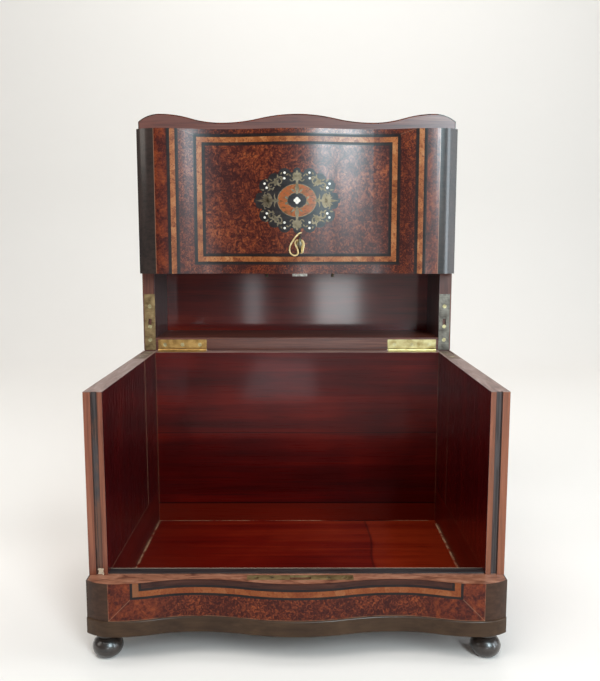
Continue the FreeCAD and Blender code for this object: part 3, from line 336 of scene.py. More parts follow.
for side, wall, plinth_side in ((-1, "wall_left", "plinth_left"),
                                (1, "wall_right", "plinth_right")):
    faced = Finish(wall + "_wood", **POLISH)
    x, y, z = faced.axes()
    inner = mahogany_colour(faced, "z", (side * 2.0, 0, 0), -0.03)[0]
    inner = faced.mix(0.45, inner, tint(44, 10, 18))
    # Painted highlight: a pale L of lines on each wall's inside, up a seam and along its foot,
    # painted as an edge catching the light. It is strong on the left wall, faint on the right, and
    # broken up by noise.
    seam_highlight = faced.line(y, SEAM_Y, *SEAM_WIDTH) * (z > SEAM_Z)
    foot = faced.line(z, SEAM_Z, *SEAM_FOOT_WIDTH) * (y < SEAM_Y)
    highlight_breaks = faced.rise(faced.noise((60, 60, 24), 3, 0.6, 0, (side, 0, 0)), 0.20, 0.44)
    inner = faced.mix((seam_highlight + foot * 0.35) * highlight_breaks * (0.55 - side * 0.35), inner, PALE_WEAR_AND_HIGHLIGHT)
    outer, fibre = rosewood_colour(faced, "z", (side * 3.0, 0, 0))
    edge_light = faced.noise((24, 24, 9), 3, 0.5, 0.4)
    outer = faced.mix(edge_light * (0.55 + side * 0.25), outer, tint(164, 100, 66))
    wear = faced.rise(faced.noise((40, 40, 22), 4, 0.6, 0.5, (side * 7, 0, 0)), 0.42, 0.56)
    grooved = (abs(x) > GROOVE_NEAR) * (abs(x) < GROOVE_FAR) * (y < GROOVE_FOOT)
    sliver = faced.rise(faced.noise((900, 900, 26), 3, 0.6), 0.46, 0.60)
    slate = faced.mix(wear * (0.45 - side * 0.40), tint(70, 62, 62), tint(112, 74, 56))
    slate = faced.mix(sliver * 0.8, slate, tint(36, 28, 27))
    outer = faced.mix(grooved, outer, slate)
    # Painted shade: a dark line along both lips of the groove in each wall's front edge.
    groove_lip_shade = (abs(x) > GROOVE_NEAR - GROOVE_SHADE_REACH) * (abs(x) < GROOVE_FAR + GROOVE_SHADE_REACH) * (y < GROOVE_SHADE_FOOT)
    outer = faced.mix(groove_lip_shade * (1 - grooved) * 0.7, outer, tint(40, 26, 22))
    top = z > WALL_TOP
    grey = faced.ramp(faced.noise((160, 26, 160), 5, 0.65, 0.8), (0.32, tint(100, 78, 72)),
                      (0.50, tint(130, 104, 96)), (0.70, tint(154, 132, 124)))
    outer = faced.mix(top, outer, grey)
    from_y, from_z = abs(y - STRING_Y), abs(z - STRING_Z)
    upright = (faced.line(abs(from_y - STRING_HALF_Y), 0, STRING_WIDE, STRING_SOFT)
               * (from_z < STRING_HALF_Z + STRING_WIDE))
    level = (faced.line(abs(from_z - STRING_HALF_Z), 0, STRING_WIDE, STRING_SOFT)
             * (from_y < STRING_HALF_Y + STRING_WIDE))
    framed = upright.math("MAXIMUM", level) * (abs(x) > WALL_OUTER)
    outer = faced.mix(framed, outer, tint(172, 112, 60))
    inside = abs(x) < WALL_INNER
    if side < 0:
        ragged = faced.noise((420, 420, 420), 3, 0.7) * CHIP_RAGGED
        chip = ((abs(abs(x) - CHIP_X) + ragged < CHIP_HALF) * (y < CHIP_FRONT)
                * (z + ragged < CHIP_TOP))
        outer = faced.mix(chip, outer, tint(206, 190, 166))
    faced.give(Base_Color=faced.mix(inside, outer, inner),
               Coat_Weight=inside * 0.3 + 0.25 - top * 0.2,
               Roughness=fibre * 0.22 + 0.26 - inside * 0.08 + top * 0.08,
               Normal=faced.bump(fibre, GRAIN_DEPTH))
    dress(faced, wall)

    low = Finish(plinth_side + "_wood", Coat_Weight=0.4, **POLISH)
    x, y, z = low.axes()
    inner = mahogany_colour(low, "y", (side * 5.0, 1, 0), 0.02)[0]
    outer, fibre = rosewood_colour(low, "y", (side * 4.0, 0, 0))
    rubbed = low.line(z, PLINTH_SEAM, *PLINTH_SEAM_WIDTH)
    rubbed = rubbed * low.rise(low.noise((70, 70, 70), 4), 0.40, 0.60)
    inner = low.mix(rubbed * 0.6, inner, PALE_WEAR_AND_HIGHLIGHT)
    outer = low.mix(z < PLINTH_FOOT, outer, tint(46, 35, 30))
    low.give(Base_Color=low.mix(abs(x) < WALL_INNER, outer, inner),
             Roughness=fibre * 0.2 + 0.26, Normal=low.bump(fibre, GRAIN_DEPTH))
    dress(low, plinth_side)


# BACK LIPPING
# Rosewood lippings glued along the rear of the back's top edge, beside the two hinges. They
# shut the slit under the raised lid, and their sloped noses stay clear of its turn.
def new_piece(name, build, finish):
    """A piece from a built mesh, its faces turned outward, in one finish."""
    bmesh.ops.recalc_face_normals(build, faces=build.faces)
    mesh = bpy.data.meshes.new(name)
    build.to_mesh(mesh)
    build.free()
    mesh.materials.append(finish.material)
    made = bpy.data.objects.new(name, mesh)
    bpy.context.scene.collection.objects.link(made)
    return made


LIPPING_RUNS = ((-0.1646, -0.1502), (-0.0970, 0.0970), (0.1502, 0.1646))
LIPPING_SHAPE = ((0.08382, 0.2100), (0.08382, 0.2127), (0.08430, 0.2131), (0.0860, 0.2131),
                 (0.0860, 0.2100))

lipping_build = bmesh.new()
for start, stop in LIPPING_RUNS:
    near_end = [lipping_build.verts.new((start, y, z)) for y, z in LIPPING_SHAPE]
    far_end = [lipping_build.verts.new((stop, y, z)) for y, z in LIPPING_SHAPE]
    lipping_build.faces.new(near_end)
    lipping_build.faces.new(far_end[::-1])
    for i in range(len(LIPPING_SHAPE)):
        lipping_build.faces.new((near_end[i - 1], near_end[i], far_end[i], far_end[i - 1]))
lipping = Finish("lipping_rosewood", Coat_Weight=0.2, **POLISH)
colour, fibre = rosewood_colour(lipping, "x", (0, 6, 0))
# The rosewood is mixed 60% toward near black: painted shade of the slit under the raised lid.
lipping.give(Base_Color=lipping.mix(0.6, colour, tint(30, 18, 16)), Roughness=fibre * 0.2 + 0.4)
back_lipping = new_piece("back_lipping", lipping_build, lipping)
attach(back_lipping, "case")


# PLINTH
# A rosewood core below the opening, its serpentine face laid with burl, a dark crossband,
# an orange band between ebony strings, ebonised corners and a moulding glued below.
def burl_colour(finish, size, shift=(0, 0, 0), light=0.0):
    """Burl: tight curls and dark eyes on a red-brown ground, with lighter clouds."""
    curl = finish.noise((size, size, size), 3, 0.5, 1.6, shift)
    eyes = finish.noise((size * 0.7, size * 0.7, size * 0.55), 3, 0.55, 2.6, shift)
    cloud = finish.noise((22, 22, 22), 3, 0.5, 0.6, shift)
    ground = finish.ramp(curl * 0.62 + cloud * 0.38 + light, (0.38, tint(52, 17, 11)),
                         (0.47, tint(82, 34, 20)), (0.55, tint(110, 51, 28)),
                         (0.66, tint(146, 76, 39)))
    return finish.mix(finish.rise(eyes, 0.47, 0.62) * 0.75, ground, tint(50, 15, 11)), curl


def flame_colour(finish, shift=(0, 0, 0)):
    """The large cloudy figure that the burl's outer strips are cut with."""
    flame = finish.noise((85, 85, 60), 4, 0.6, 0.9, shift)
    speck = finish.noise((420, 420, 420), 3, 0.6, 0.6, shift)
    return finish.ramp(flame * 0.6 + speck * 0.4, (0.37, tint(46, 16, 13)),
                       (0.46, tint(74, 29, 19)), (0.55, tint(104, 46, 25)),
                       (0.68, tint(134, 68, 34)))


WAX = dict(Coat_Roughness=0.25, Coat_IOR=1.5, Specular_IOR_Level=0.14)
GLUE_COLOUR, GLUE_WIDTH = tint(150, 112, 88), (0.0003, 0.0004)
FINE_CURLS, CURL_DEPTH = 300, 0.00003
BURL_EDGE, FLAME_FROM = 0.1465, (0.092, 0.118)
MITRE_IN, MITRE_TOP = 0.1293, 0.0517
CORE_TOP, RUBBED_DEPTH = 0.0643, 0.00006
STAINED_DEPTH = 0.00002
SILL_REAR, SILL_DULL = (-0.1362, -0.1356), (0.120, 0.148)
PLINTH_BAND_WORN, WORN_FADE, NOT_WORN = 0.1205, 0.004, 1.0

burl = Finish("plinth_burl", Coat_Weight=0.15, **WAX)
x, y, z = burl.axes()
colour, curl = burl_colour(burl, FINE_CURLS, (0, 3, 1), -0.035)
ends = burl.rise(abs(x), *FLAME_FROM)
colour = burl.mix(ends, colour, flame_colour(burl, (2, 2, 5)))
lines = (burl.line(z, PLINTH_FOOT, *GLUE_WIDTH) * 0.55
         + burl.line(abs(x), BURL_EDGE, *GLUE_WIDTH) * 0.4)
slope = (MITRE_TOP - PLINTH_FOOT) / (BURL_EDGE - MITRE_IN)
mitre = burl.line(z + (abs(x) - BURL_EDGE) * slope, PLINTH_FOOT, *GLUE_WIDTH)
lines = lines + mitre * (abs(x) > MITRE_IN) * 0.35
broken = burl.rise(burl.noise((80, 80, 80), 3), 0.30, 0.50)
colour = burl.mix(lines * broken, colour, GLUE_COLOUR)
burl.give(Base_Color=colour, Roughness=curl * 0.2 + 0.24, Normal=burl.bump(curl, CURL_DEPTH))
dress(burl, "plinth_veneer")

core = Finish("plinth_rosewood", Coat_Weight=0.25, **POLISH)
x, y, z = core.axes()
colour, fibre = rosewood_colour(core, "x")
rubbed = core.ramp(core.noise((60, 190, 60), 5, 0.65, 0.7), (0.32, tint(84, 46, 36)),
                   (0.50, tint(142, 94, 72)), (0.68, tint(170, 122, 98)))
colour = core.mix(z > CORE_TOP, colour, rubbed)
core.give(Base_Color=colour, Roughness=fibre * 0.25 + 0.34, Normal=core.bump(fibre, RUBBED_DEPTH))
dress(core, "plinth_front")

cross = Finish("crossband_wood", Coat_Weight=0.15, **WAX)
stripe = cross.noise((24, 300, 400), 4, 0.6)
cross.give(Base_Color=cross.ramp(stripe, (0.35, tint(46, 24, 20)), (0.65, tint(70, 40, 31))),
           Roughness=stripe * 0.2 + 0.25)
dress(cross, "plinth_crossband")


def ebonised(name, dark, light, coat, polish=POLISH):
    """Wood stained black, with its grain just showing."""
    made = Finish(name, Coat_Weight=coat, **polish)
    grain = made.noise((40, 500, 300), 4, 0.6)
    cloud = made.noise((30, 30, 14), 3, 0.5)
    made.give(Base_Color=made.ramp(grain * 0.5 + cloud * 0.5, (0.36, dark), (0.64, light)),
              Roughness=grain * 0.25 + 0.24, Normal=made.bump(grain, STAINED_DEPTH))
    return made


corner_black = ebonised("corner_black", tint(42, 28, 21), tint(72, 50, 37), 0.15, WAX)
dress(corner_black, "plinth_corner_strips")
moulding_black = ebonised("moulding_black", tint(52, 38, 28), tint(74, 56, 41), 0.1, WAX)
dress(moulding_black, "plinth_moulding")
string_black = ebonised("string_black", tint(22, 17, 17), tint(42, 33, 30), 0.15, WAX)
dress(string_black, "plinth_stringing", "dust_tongues")

sill = Finish("sill_black", Coat_Weight=0.4, **POLISH)
x, y, z = sill.axes()
grain = sill.noise((20, 700, 700), 4, 0.6)
ground = sill.ramp(grain, (0.35, tint(34, 31, 33)), (0.65, tint(62, 58, 58)))
# A pale line along the sill's rear edge, partly wear and partly a painted highlight of the edge
# catching the light, fainter at the right end.
worn_and_lit_edge = sill.rise(y, *SILL_REAR) * (1 - sill.rise(x, *SILL_DULL) * 0.6)
sill.give(Base_Color=sill.mix(worn_and_lit_edge * 0.8, ground, tint(190, 176, 156)),
          Roughness=grain * 0.25 + 0.25)
dress(sill, "front_sill")


def band_finish(name, deep, worn_from=NOT_WORN):
    """Orange banding of short cross-cut bits, darkened by a share as painted shade, worn far to the
    left.
    """
    made = Finish(name, Coat_Weight=0.2, **WAX)
    x = made.axes()[0]
    bits = made.cells(150)
    fine = made.noise((800, 800, 800), 3, 0.6)
    patch = made.noise((50, 50, 50), 3, 0.6)
    colour = made.ramp(fine * 0.35 + patch * 0.45 + bits * 0.2, (0.32, tint(98, 48, 26)),
                       (0.44, tint(138, 80, 43)), (0.55, tint(158, 98, 57)),
                       (0.70, tint(174, 124, 82)))
    fleck = made.rise(made.noise((420, 420, 420), 2, 0.5, 0.8, (4, 4, 4)), 0.57, 0.66)
    colour = made.mix(fleck * 0.65, colour, tint(92, 40, 24))
    # Painted shade: the band is darkened toward deep orange by the given share.
    colour = made.mix(deep, colour, tint(112, 50, 16))
    worn = made.rise(0 - x, worn_from, worn_from + WORN_FADE)
    colour = made.mix(worn * 0.6, colour, tint(122, 84, 58))
    made.give(Base_Color=colour, Roughness=fine * 0.25 + 0.25)
    return made


# The plinth's band is darkened by a 0.6 share of painted shade.
dress(band_finish("plinth_band_wood", 0.6, PLINTH_BAND_WORN), "plinth_banding")


# STRIKE PLATE
# A let-in plate of dulled brass with the bolt's slot, held by two countersunk screws.
SCRATCH_DEPTH = 0.00001


def aged_brass(name, dark, light, rough, right=None):
    """Sheet brass gone brown in the hollows, in two other colours on the right if given."""
    made = Finish(name, Metallic=1.0)
    stain = made.noise((120, 120, 120), 5, 0.62, 0.6)
    scratch = made.noise((90, 1400, 1400), 2, 0.5)
    age = stain * 0.8 + scratch * 0.2
    colour = made.ramp(age, (0.34, dark), (0.62, light))
    if right:
        x = made.axes()[0]
        colour = made.mix(x > 0, colour, made.ramp(age, (0.34, right[0]), (0.62, right[1])))
    made.give(Base_Color=colour, Roughness=stain * 0.35 + rough,
              Normal=made.bump(scratch, SCRATCH_DEPTH))
    return made


dress(aged_brass("strike_brass", tint(98, 78, 50), tint(152, 126, 88), 0.45), "strike_plate")

# FEET
# Four turned bun feet, ebonised and polished, with a collar that is dowelled into the plinth.
foot_black = ebonised("foot_black", tint(34, 29, 27), tint(62, 52, 46), 0.8)
dress(foot_black, "foot_front_left", "foot_front_right", "foot_rear_left", "foot_rear_right")

# LID
# A shallow tray of rosewood rails round a mahogany recess, on two butts at the back. Its
# outer top is burl in an orange band, its front rail carries the serpentine veneer.
RECESS_Y, SIDE_INNER = 0.1568, 0.1525
BAND_HALF, BAND_FOOT, BAND_TOP = 0.141, 0.23715, 0.42715
SIDE_TONE, FRONT_TONE = tint(60, 34, 30), tint(104, 75, 72)

tray = Finish("lid_board_wood", Coat_Weight=0.6, **INNER_POLISH)
x, y, z = tray.axes()
recess, pores = mahogany_colour(tray, "x", (5, 5, 5), 0.07)
top = burl_colour(tray, FINE_CURLS, (9, 9, 9))[0]
border = rosewood_colour(tray, "x", (2, 9, 2))[0]
in_band = (abs(x) < BAND_HALF) * (z > BAND_FOOT) * (z < BAND_TOP)
top = tray.mix(in_band, border, top)
tray.give(Base_Color=tray.mix(y > RECESS_Y, recess, top), Roughness=pores * 0.25 + 0.24,
          Normal=tray.bump(pores, PORE_DEPTH))
dress(tray, "lid_top_board")
# The lid's band gets a 0.1 share of painted shade.
dress(band_finish("lid_band_wood", 0.1), "lid_top_banding")

for rail_name, axis, tone in (("lid_side_left", "z", SIDE_TONE),
                              ("lid_side_right", "z", SIDE_TONE),
                              ("lid_rear_rail", "x", SIDE_TONE),
                              ("lid_front_rail", "x", FRONT_TONE)):
    rail = Finish(rail_name + "_wood", Coat_Weight=0.2, **POLISH)
    colour, fibre = rosewood_colour(rail, axis, (0, len(rail_name), 0))
    colour = rail.mix(0.5, colour, tone)
    if axis == "z":
        x = rail.axes()[0]
        colour = rail.mix((abs(x) < SIDE_INNER) * 0.7, colour, tint(56, 48, 52))
    rail.give(Base_Color=colour, Roughness=fibre * 0.25 + 0.3, Normal=rail.bump(fibre, GRAIN_DEPTH))
    dress(rail, rail_name)

crest = Finish("lid_rail_burl", Specular_IOR_Level=0.0)
colour, curl = burl_colour(crest, FINE_CURLS, (5, 1, 5))
crest.give(Base_Color=colour, Roughness=curl * 0.2 + 0.42, Normal=crest.bump(curl, CURL_DEPTH))
dress(crest, "lid_rail_veneer")
dress(corner_black, "lid_corner_strips")

# BRASSWORK
# Butt hinges on the back, stop plates in the wall tops and let-in hinges for the front,
# cut from sheet brass, each on slotted countersunk screws turned in by hand.
DULL, RUBBED = tint(96, 74, 44), tint(168, 136, 84)
SCREW_FACING = {"up": (0, 0, 0), "front": (math.pi / 2, 0, 0), "rear": (-math.pi / 2, 0, 0)}
SCREW_OUT = {"up": Vector((0, 0, 1)), "front": Vector((0, -1, 0)), "rear": Vector((0, 1, 0))}
SCREW_SIZES = {"Shank radius": 0.0011, "Head depth": 0.0013, "Length": 0.0042,
               "Slot width": 0.00055, "Slot depth": 0.0007}
SCREW_HEAD, SMALL_HEAD, SCREW_PROUD = 0.0021, 0.0018, 0.00012
HEAD_SIDES, SHANK_SIDES, POINT_SHARE, SLOT_RUN, TURN_SEED = 20, 12, 0.35, 3.0, 7
SAME_POINT = 1e-6

dress(aged_brass("butt_brass", tint(114, 84, 48), tint(168, 130, 80), 0.24,
                 (tint(122, 104, 68), tint(164, 148, 108))),
      "hinge_case_leaf_left", "hinge_case_leaf_right", "hinge_lid_leaf_left",
      "hinge_lid_leaf_right", "hinge_pins")
dress(aged_brass("stop_brass", tint(86, 68, 48), tint(134, 110, 80), 0.34,
                 (tint(60, 54, 50), tint(104, 96, 88))), "stop_lid_leaves")
dress(aged_brass("wall_stop_brass", tint(98, 80, 70), tint(142, 120, 106), 0.5),
      "stop_case_leaves")
dress(aged_brass("front_hinge_brass", DULL, RUBBED, 0.25), "front_hinge_lid_leaves",
      "front_hinge_pins", "front_hinge_leaves")


def screw_tree():
    """A tree that sets a slotted countersunk screw at each point, turned at random."""
    tree = bpy.data.node_groups.new("slotted_screws", "GeometryNodeTree")
    sockets = tree.interface
    sockets.new_socket("Geometry", in_out="INPUT", socket_type="NodeSocketGeometry")
    for label in ("Head radius", *SCREW_SIZES):
        sockets.new_socket(label, in_out="INPUT", socket_type="NodeSocketFloat")
    sockets.new_socket("Facing", in_out="INPUT", socket_type="NodeSocketRotation")
    sockets.new_socket("Metal", in_out="INPUT", socket_type="NodeSocketMaterial")
    sockets.new_socket("Geometry", in_out="OUTPUT", socket_type="NodeSocketGeometry")

    def node(kind, inputs, output=0, **settings):
        made = tree.nodes.new(kind)
        for setting, value in settings.items():
            setattr(made, setting, value)
        for key, value in inputs.items():
            if isinstance(value, bpy.types.NodeSocket):
                tree.links.new(value, made.inputs[key])
            else:
                made.inputs[key].default_value = value
        return made.outputs[output]

    def reckon(operation, first, second):
        return node("ShaderNodeMath", {0: first, 1: second}, operation=operation)

    def moved(shape, height):
        lift = node("ShaderNodeCombineXYZ", {"Z": height})
        return node("GeometryNodeTransform", {"Geometry": shape, "Translation": lift})

    given = tree.nodes.new("NodeGroupInput").outputs
    down = reckon("MULTIPLY", given["Head depth"], -1.0)
    cone = node("GeometryNodeMeshCone", {
        "Vertices": HEAD_SIDES, "Radius Top": given["Head radius"],
        "Radius Bottom": given["Shank radius"], "Depth": given["Head depth"]})
    head = moved(cone, down)
    slot_size = node("ShaderNodeCombineXYZ", {
        "X": reckon("MULTIPLY", given["Head radius"], SLOT_RUN), "Y": given["Slot width"],
        "Z": reckon("MULTIPLY", given["Slot depth"], 2.0)})
    cutter = node("GeometryNodeMeshCube", {"Size": slot_size})
    slotted = node("GeometryNodeMeshBoolean", {0: head, 1: cutter}, operation="DIFFERENCE",
                   solver="EXACT")
    point = reckon("MULTIPLY", given["Shank radius"], POINT_SHARE)
    thread = node("GeometryNodeMeshCone", {
        "Vertices": SHANK_SIDES, "Radius Top": given["Shank radius"], "Radius Bottom": point,
        "Depth": given["Length"]})
    shank = moved(thread, reckon("SUBTRACT", down, given["Length"]))
    both = tree.nodes.new("GeometryNodeJoinGeometry")
    tree.links.new(shank, both.inputs[0])
    tree.links.new(slotted, both.inputs[0])
    spun = node("FunctionNodeRandomValue", {"Max": math.pi, "Seed": TURN_SEED}, 1,
                data_type="FLOAT")
    turn = node("FunctionNodeEulerToRotation", {0: node("ShaderNodeCombineXYZ", {"Z": spun})})
    facing = node("FunctionNodeRotateRotation", {0: given["Facing"], 1: turn},
                  rotation_space="LOCAL")
    each = node("GeometryNodeInstanceOnPoints", {
        "Points": given["Geometry"], "Instance": both.outputs[0], "Rotation": facing})
    real = node("GeometryNodeRealizeInstances", {"Geometry": each})
    metal = node("GeometryNodeSetMaterial", {"Geometry": real, "Material": given["Metal"]})
    tree.links.new(metal, tree.nodes.new("NodeGroupOutput").inputs[0])
    return tree


slotted_screws = screw_tree()
screw_brass = aged_brass("screw_brass", tint(104, 90, 62), tint(172, 158, 122), 0.25)


def screw_places(node_name, facing):
    """The middle of each screw's outer face, read from the frame's solid screws."""
    build = bmesh.new()
    build.from_mesh(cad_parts[node_name].data)
    bmesh.ops.remove_doubles(build, verts=build.verts, dist=SAME_POINT)
    left = set(build.verts)
    places = []
    while left:
        todo = [left.pop()]
        island = []
        while todo:
            corner = todo.pop()
            island.append(corner.co)
            for edge in corner.link_edges:
                other = edge.other_vert(corner)
                if other in left:
                    left.remove(other)
                    todo.append(other)
        low = Vector(min(point[i] for point in island) for i in range(3))
        high = Vector(max(point[i] for point in island) for i in range(3))
        middle = (low + high) / 2
        if facing == "up":
            middle.z = high.z
        else:
            middle.y = low.y if facing == "front" else high.y
        places.append(middle)
    build.free()
    return sorted(tuple(place) for place in places)


def set_screws(name, node_name, facing, body, head=SCREW_HEAD):
    """Puts slotted screws in place of one of the frame's groups of screws."""
    proud = SCREW_OUT[facing] * SCREW_PROUD
    points = bpy.data.meshes.new(name + "_places")
    points.from_pydata([Vector(place) + proud for place in screw_places(node_name, facing)],
                       [], [])
    holder = bpy.data.objects.new(name + "_places", points)
    bpy.context.scene.collection.objects.link(holder)
    setting = holder.modifiers.new("screws", "NODES")
    setting.node_group = slotted_screws
    sizes = {"Head radius": head, **SCREW_SIZES, "Facing": SCREW_FACING[facing],
             "Metal": screw_brass.material}
    for socket in slotted_screws.interface.items_tree:
        if socket.in_out == "INPUT" and socket.name in sizes:
            setting[socket.identifier] = sizes[socket.name]
    evaluated = holder.evaluated_get(bpy.context.evaluated_depsgraph_get())
    mesh = bpy.data.meshes.new_from_object(evaluated)
    bpy.data.objects.remove(holder)
    made = bpy.data.objects.new(name, mesh)
    bpy.context.scene.collection.objects.link(made)
    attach(made, body)
    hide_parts(node_name)


set_screws("case_screws", "case_hinge_screws", "up", "case")
set_screws("lid_screws", "lid_hinge_screws", "front", "lid")
set_screws("front_screws", "front_hinge_screws", "rear", "front", SMALL_HEAD)
set_screws("strike_plate_screws", "strike_screws", "up", "case")

# FRONT
# The serpentine front of rosewood, hinged to the lid, its face laid with burl: a fine
# field in an orange frame, strips beside it, upright bands and ebonised corners.
FIELD_HALF, FIELD_FOOT, FIELD_TOP = 0.0957, 0.31575, 0.42735
FRAME_HALF, FRAME_FOOT, FRAME_TOP = 0.1061, 0.30535, 0.43775
UPRIGHT_IN, UPRIGHT_OUT, FRONT_TOP = 0.1223, 0.1327, 0.44305
FIELD_CURLS, STRIP_CURLS = 215, 320
STAIN_WIDTH, MITRE_SLOPE, MITRE_WIDTH = (0.0007, 0.0004), 0.34, (0.0002, 0.0004)
FRONT_INNER, DULL_FROM, RIPPLE_DEPTH = 0.0828, (0.075, 0.110), 0.0003

front_wood = Finish("front_board_wood", Coat_Weight=0.4, **POLISH)
y = front_wood.axes()[1]
colour, fibre = rosewood_colour(front_wood, "x", (0, 8, 3))
inner = mahogany_colour(front_wood, "x", (7, 7, 7), 0.05)[0]
front_wood.give(Base_Color=front_wood.mix(y > FRONT_INNER, colour, inner),
                Roughness=fibre * 0.25 + 0.27, Normal=front_wood.bump(fibre, GRAIN_DEPTH))
dress(front_wood, "front_board")

face = Finish("front_burl", Coat_Roughness=0.19, Coat_IOR=1.5, Specular_IOR_Level=0.15)
x, y, z = face.axes()
colour, curl = burl_colour(face, FIELD_CURLS, (1, 1, 1))
side_strip = burl_colour(face, STRIP_CURLS, (4, 4, 2), -0.015)[0]


def beyond(across, height, half, foot, top):
    """How far a place on the front lies outside an upright rectangle, in metres."""
    off_middle = abs(height - (foot + top) / 2)
    return (abs(across) - half).math("MAXIMUM", off_middle - (top - foot) / 2)


from_field = beyond(x, z, FIELD_HALF, FIELD_FOOT, FIELD_TOP)
from_frame = beyond(x, z, FRAME_HALF, FRAME_FOOT, FRAME_TOP)
colour = face.mix(from_field > 0, colour, side_strip)
colour = face.mix(abs(x) > UPRIGHT_OUT, colour, flame_colour(face, (7, 7, 3)))
stain = face.line(from_field, 0, *STAIN_WIDTH)
stain = stain.math("MAXIMUM", face.line(from_frame, 0, *STAIN_WIDTH))
for edge in (UPRIGHT_IN, UPRIGHT_OUT):
    stain = stain.math("MAXIMUM", face.line(abs(x), edge, *STAIN_WIDTH))
colour = face.mix(stain * 0.85, colour, tint(38, 22, 19))
glue = face.line(abs(x), BURL_EDGE, *GLUE_WIDTH) * 0.7
mitre = face.line((FRONT_TOP - z) - (UPRIGHT_IN - abs(x)) * MITRE_SLOPE, 0, *MITRE_WIDTH)
glue = glue + mitre * (abs(x) > FRAME_HALF) * (abs(x) < UPRIGHT_IN) * 0.3
colour = face.mix(glue, colour, GLUE_COLOUR)
ripple = face.noise((16, 16, 16), 2, 0.5)
face.give(Base_Color=colour, Coat_Weight=0.7 - face.rise(0 - x, *DULL_FROM) * 0.45,
          Roughness=curl * 0.2 + 0.24,
          Normal=face.bump(curl * 0.05 + ripple * 0.5, RIPPLE_DEPTH))
dress(face, "front_veneer")
dress(band_finish("front_band_wood", 0.0), "front_banding")
dress(string_black, "front_stringing")
dress(ebonised("front_corner_black", tint(30, 23, 21), tint(56, 43, 38), 0.7),
      "front_corner_strips")

# CARTOUCHE
# An oval let into the front: ebony ground, a red shell ring and pearl dots, with leaves and
# scrolls sawn from thin brass, a plain arabesque of palmettes, flowers and curling stems.
# It is drawn in millimetres from the oval's middle; leaves have a turn and a length.
CARTOUCHE_X, CARTOUCHE_Z, MILLIMETRES = 0.0, 0.37055, 1000
METAL_PROUD, METAL_DEPTH = 0.00006, 0.00035
PLAIN_HEIGHT = 0.3015
RING_HALF, RING_RISE, EYE_HALF, EYE_RISE = 20.1, 16.7, 9.7, 7.4
RING_LINE, EYE_LINE, EYE_SCALLOPS, EYE_SWELL = 0.32, 0.30, 8, 0.09
TOP_PALMETTE = ((0, 7.2), (34, 6.0), (-34, 6.0), (68, 4.6), (-68, 4.6))
SIDE_PALMETTE = ((0, 14.2), (27, 9.6), (-27, 9.6), (55, 7.2), (-55, 7.2), (92, 5.0), (-92, 5.0))
FLOWER = ((40, 4.3), (112, 4.3), (184, 4.3), (256, 4.3), (328, 4.3))
SPRIGS = (((25.4, 19.8), 35, 4.2), ((19.6, 22.6), 80, 4.2), ((27.6, 11.4), -35, 3.6),
          ((24.2, 13.2), -70, 3.6), ((16.8, 26.2), 120, 3.0), ((29.6, 19.2), 40, 4.4),
          ((33.8, 10.6), 10, 4.2), ((11.4, 25.4), 150, 3.6))

dress(ebonised("ground_black", tint(22, 18, 19), tint(44, 37, 37), 0.35), "cartouche_ground")
pearl = Finish("pearl", Coat_Weight=0.5, Roughness=0.25)
sheen = pearl.noise((700, 700, 700), 2, 0.5, 0.8)
pearl.give(Base_Color=pearl.ramp(sheen, (0.35, tint(206, 210, 202)), (0.5, tint(236, 232, 220)),
                                 (0.65, tint(244, 236, 226))))
dress(pearl, "cartouche_pearls")
shell = Finish("red_shell", Coat_Weight=0.5, **POLISH)
marble = shell.noise((130, 130, 260), 4, 0.6, 1.6)
shell.give(Base_Color=shell.ramp(marble, (0.34, tint(104, 70, 46)), (0.46, tint(140, 88, 56)),
                                 (0.56, tint(160, 84, 46)), (0.70, tint(134, 104, 66))),
           Roughness=0.25)
dress(shell, "cartouche_ring")


def strip(path, halves):
    """Pairs of points to the left and right of a path, in millimetres on the front."""
    pairs = []
    for i, (point, half) in enumerate(zip(path, halves)):
        ahead = path[min(i + 1, len(path) - 1)]
        behind = path[max(i - 1, 0)]
        along_x, along_z = ahead[0] - behind[0], ahead[1] - behind[1]
        long = math.hypot(along_x, along_z) or 1
        pairs.append(((point[0] - along_z / long * half, point[1] + along_x / long * half),
                      (point[0] + along_z / long * half, point[1] - along_x / long * half)))
    return pairs


def leaf(root, turn, length, half, steps=7):
    """One pointed leaf from its root, turned in degrees."""
    way = math.cos(math.radians(turn)), math.sin(math.radians(turn))
    shares = [i / steps for i in range(steps + 1)]
    return strip([(root[0] + way[0] * length * share, root[1] + way[1] * length * share)
                  for share in shares],
                 [half * math.sin(math.pi * share ** 0.75) + 0.02 for share in shares])


def tendril(middle, start, turns, wide, close, half, steps=18):
    """A stem that winds in on itself, from wide to close."""
    path, halves = [], []
    for i in range(steps + 1):
        share = i / steps
        turn = math.radians(start + turns * share)
        reach = wide + (close - wide) * share
        path.append((middle[0] + reach * math.cos(turn), middle[1] + reach * math.sin(turn)))
        halves.append(half * (1 - 0.45 * share))
    return strip(path, halves)


def oval(wide, high, half, waves=0, swell=0.0, steps=64):
    """A closed line round the middle, scalloped where it has waves."""
    path = []
    for i in range(steps + 1):
        turn = 2 * math.pi * i / steps
        reach = 1 + swell * abs(math.sin(waves * turn / 2))
        path.append((wide * reach * math.cos(turn), high * reach * math.sin(turn)))
    return strip(path, [half] * (steps + 1))


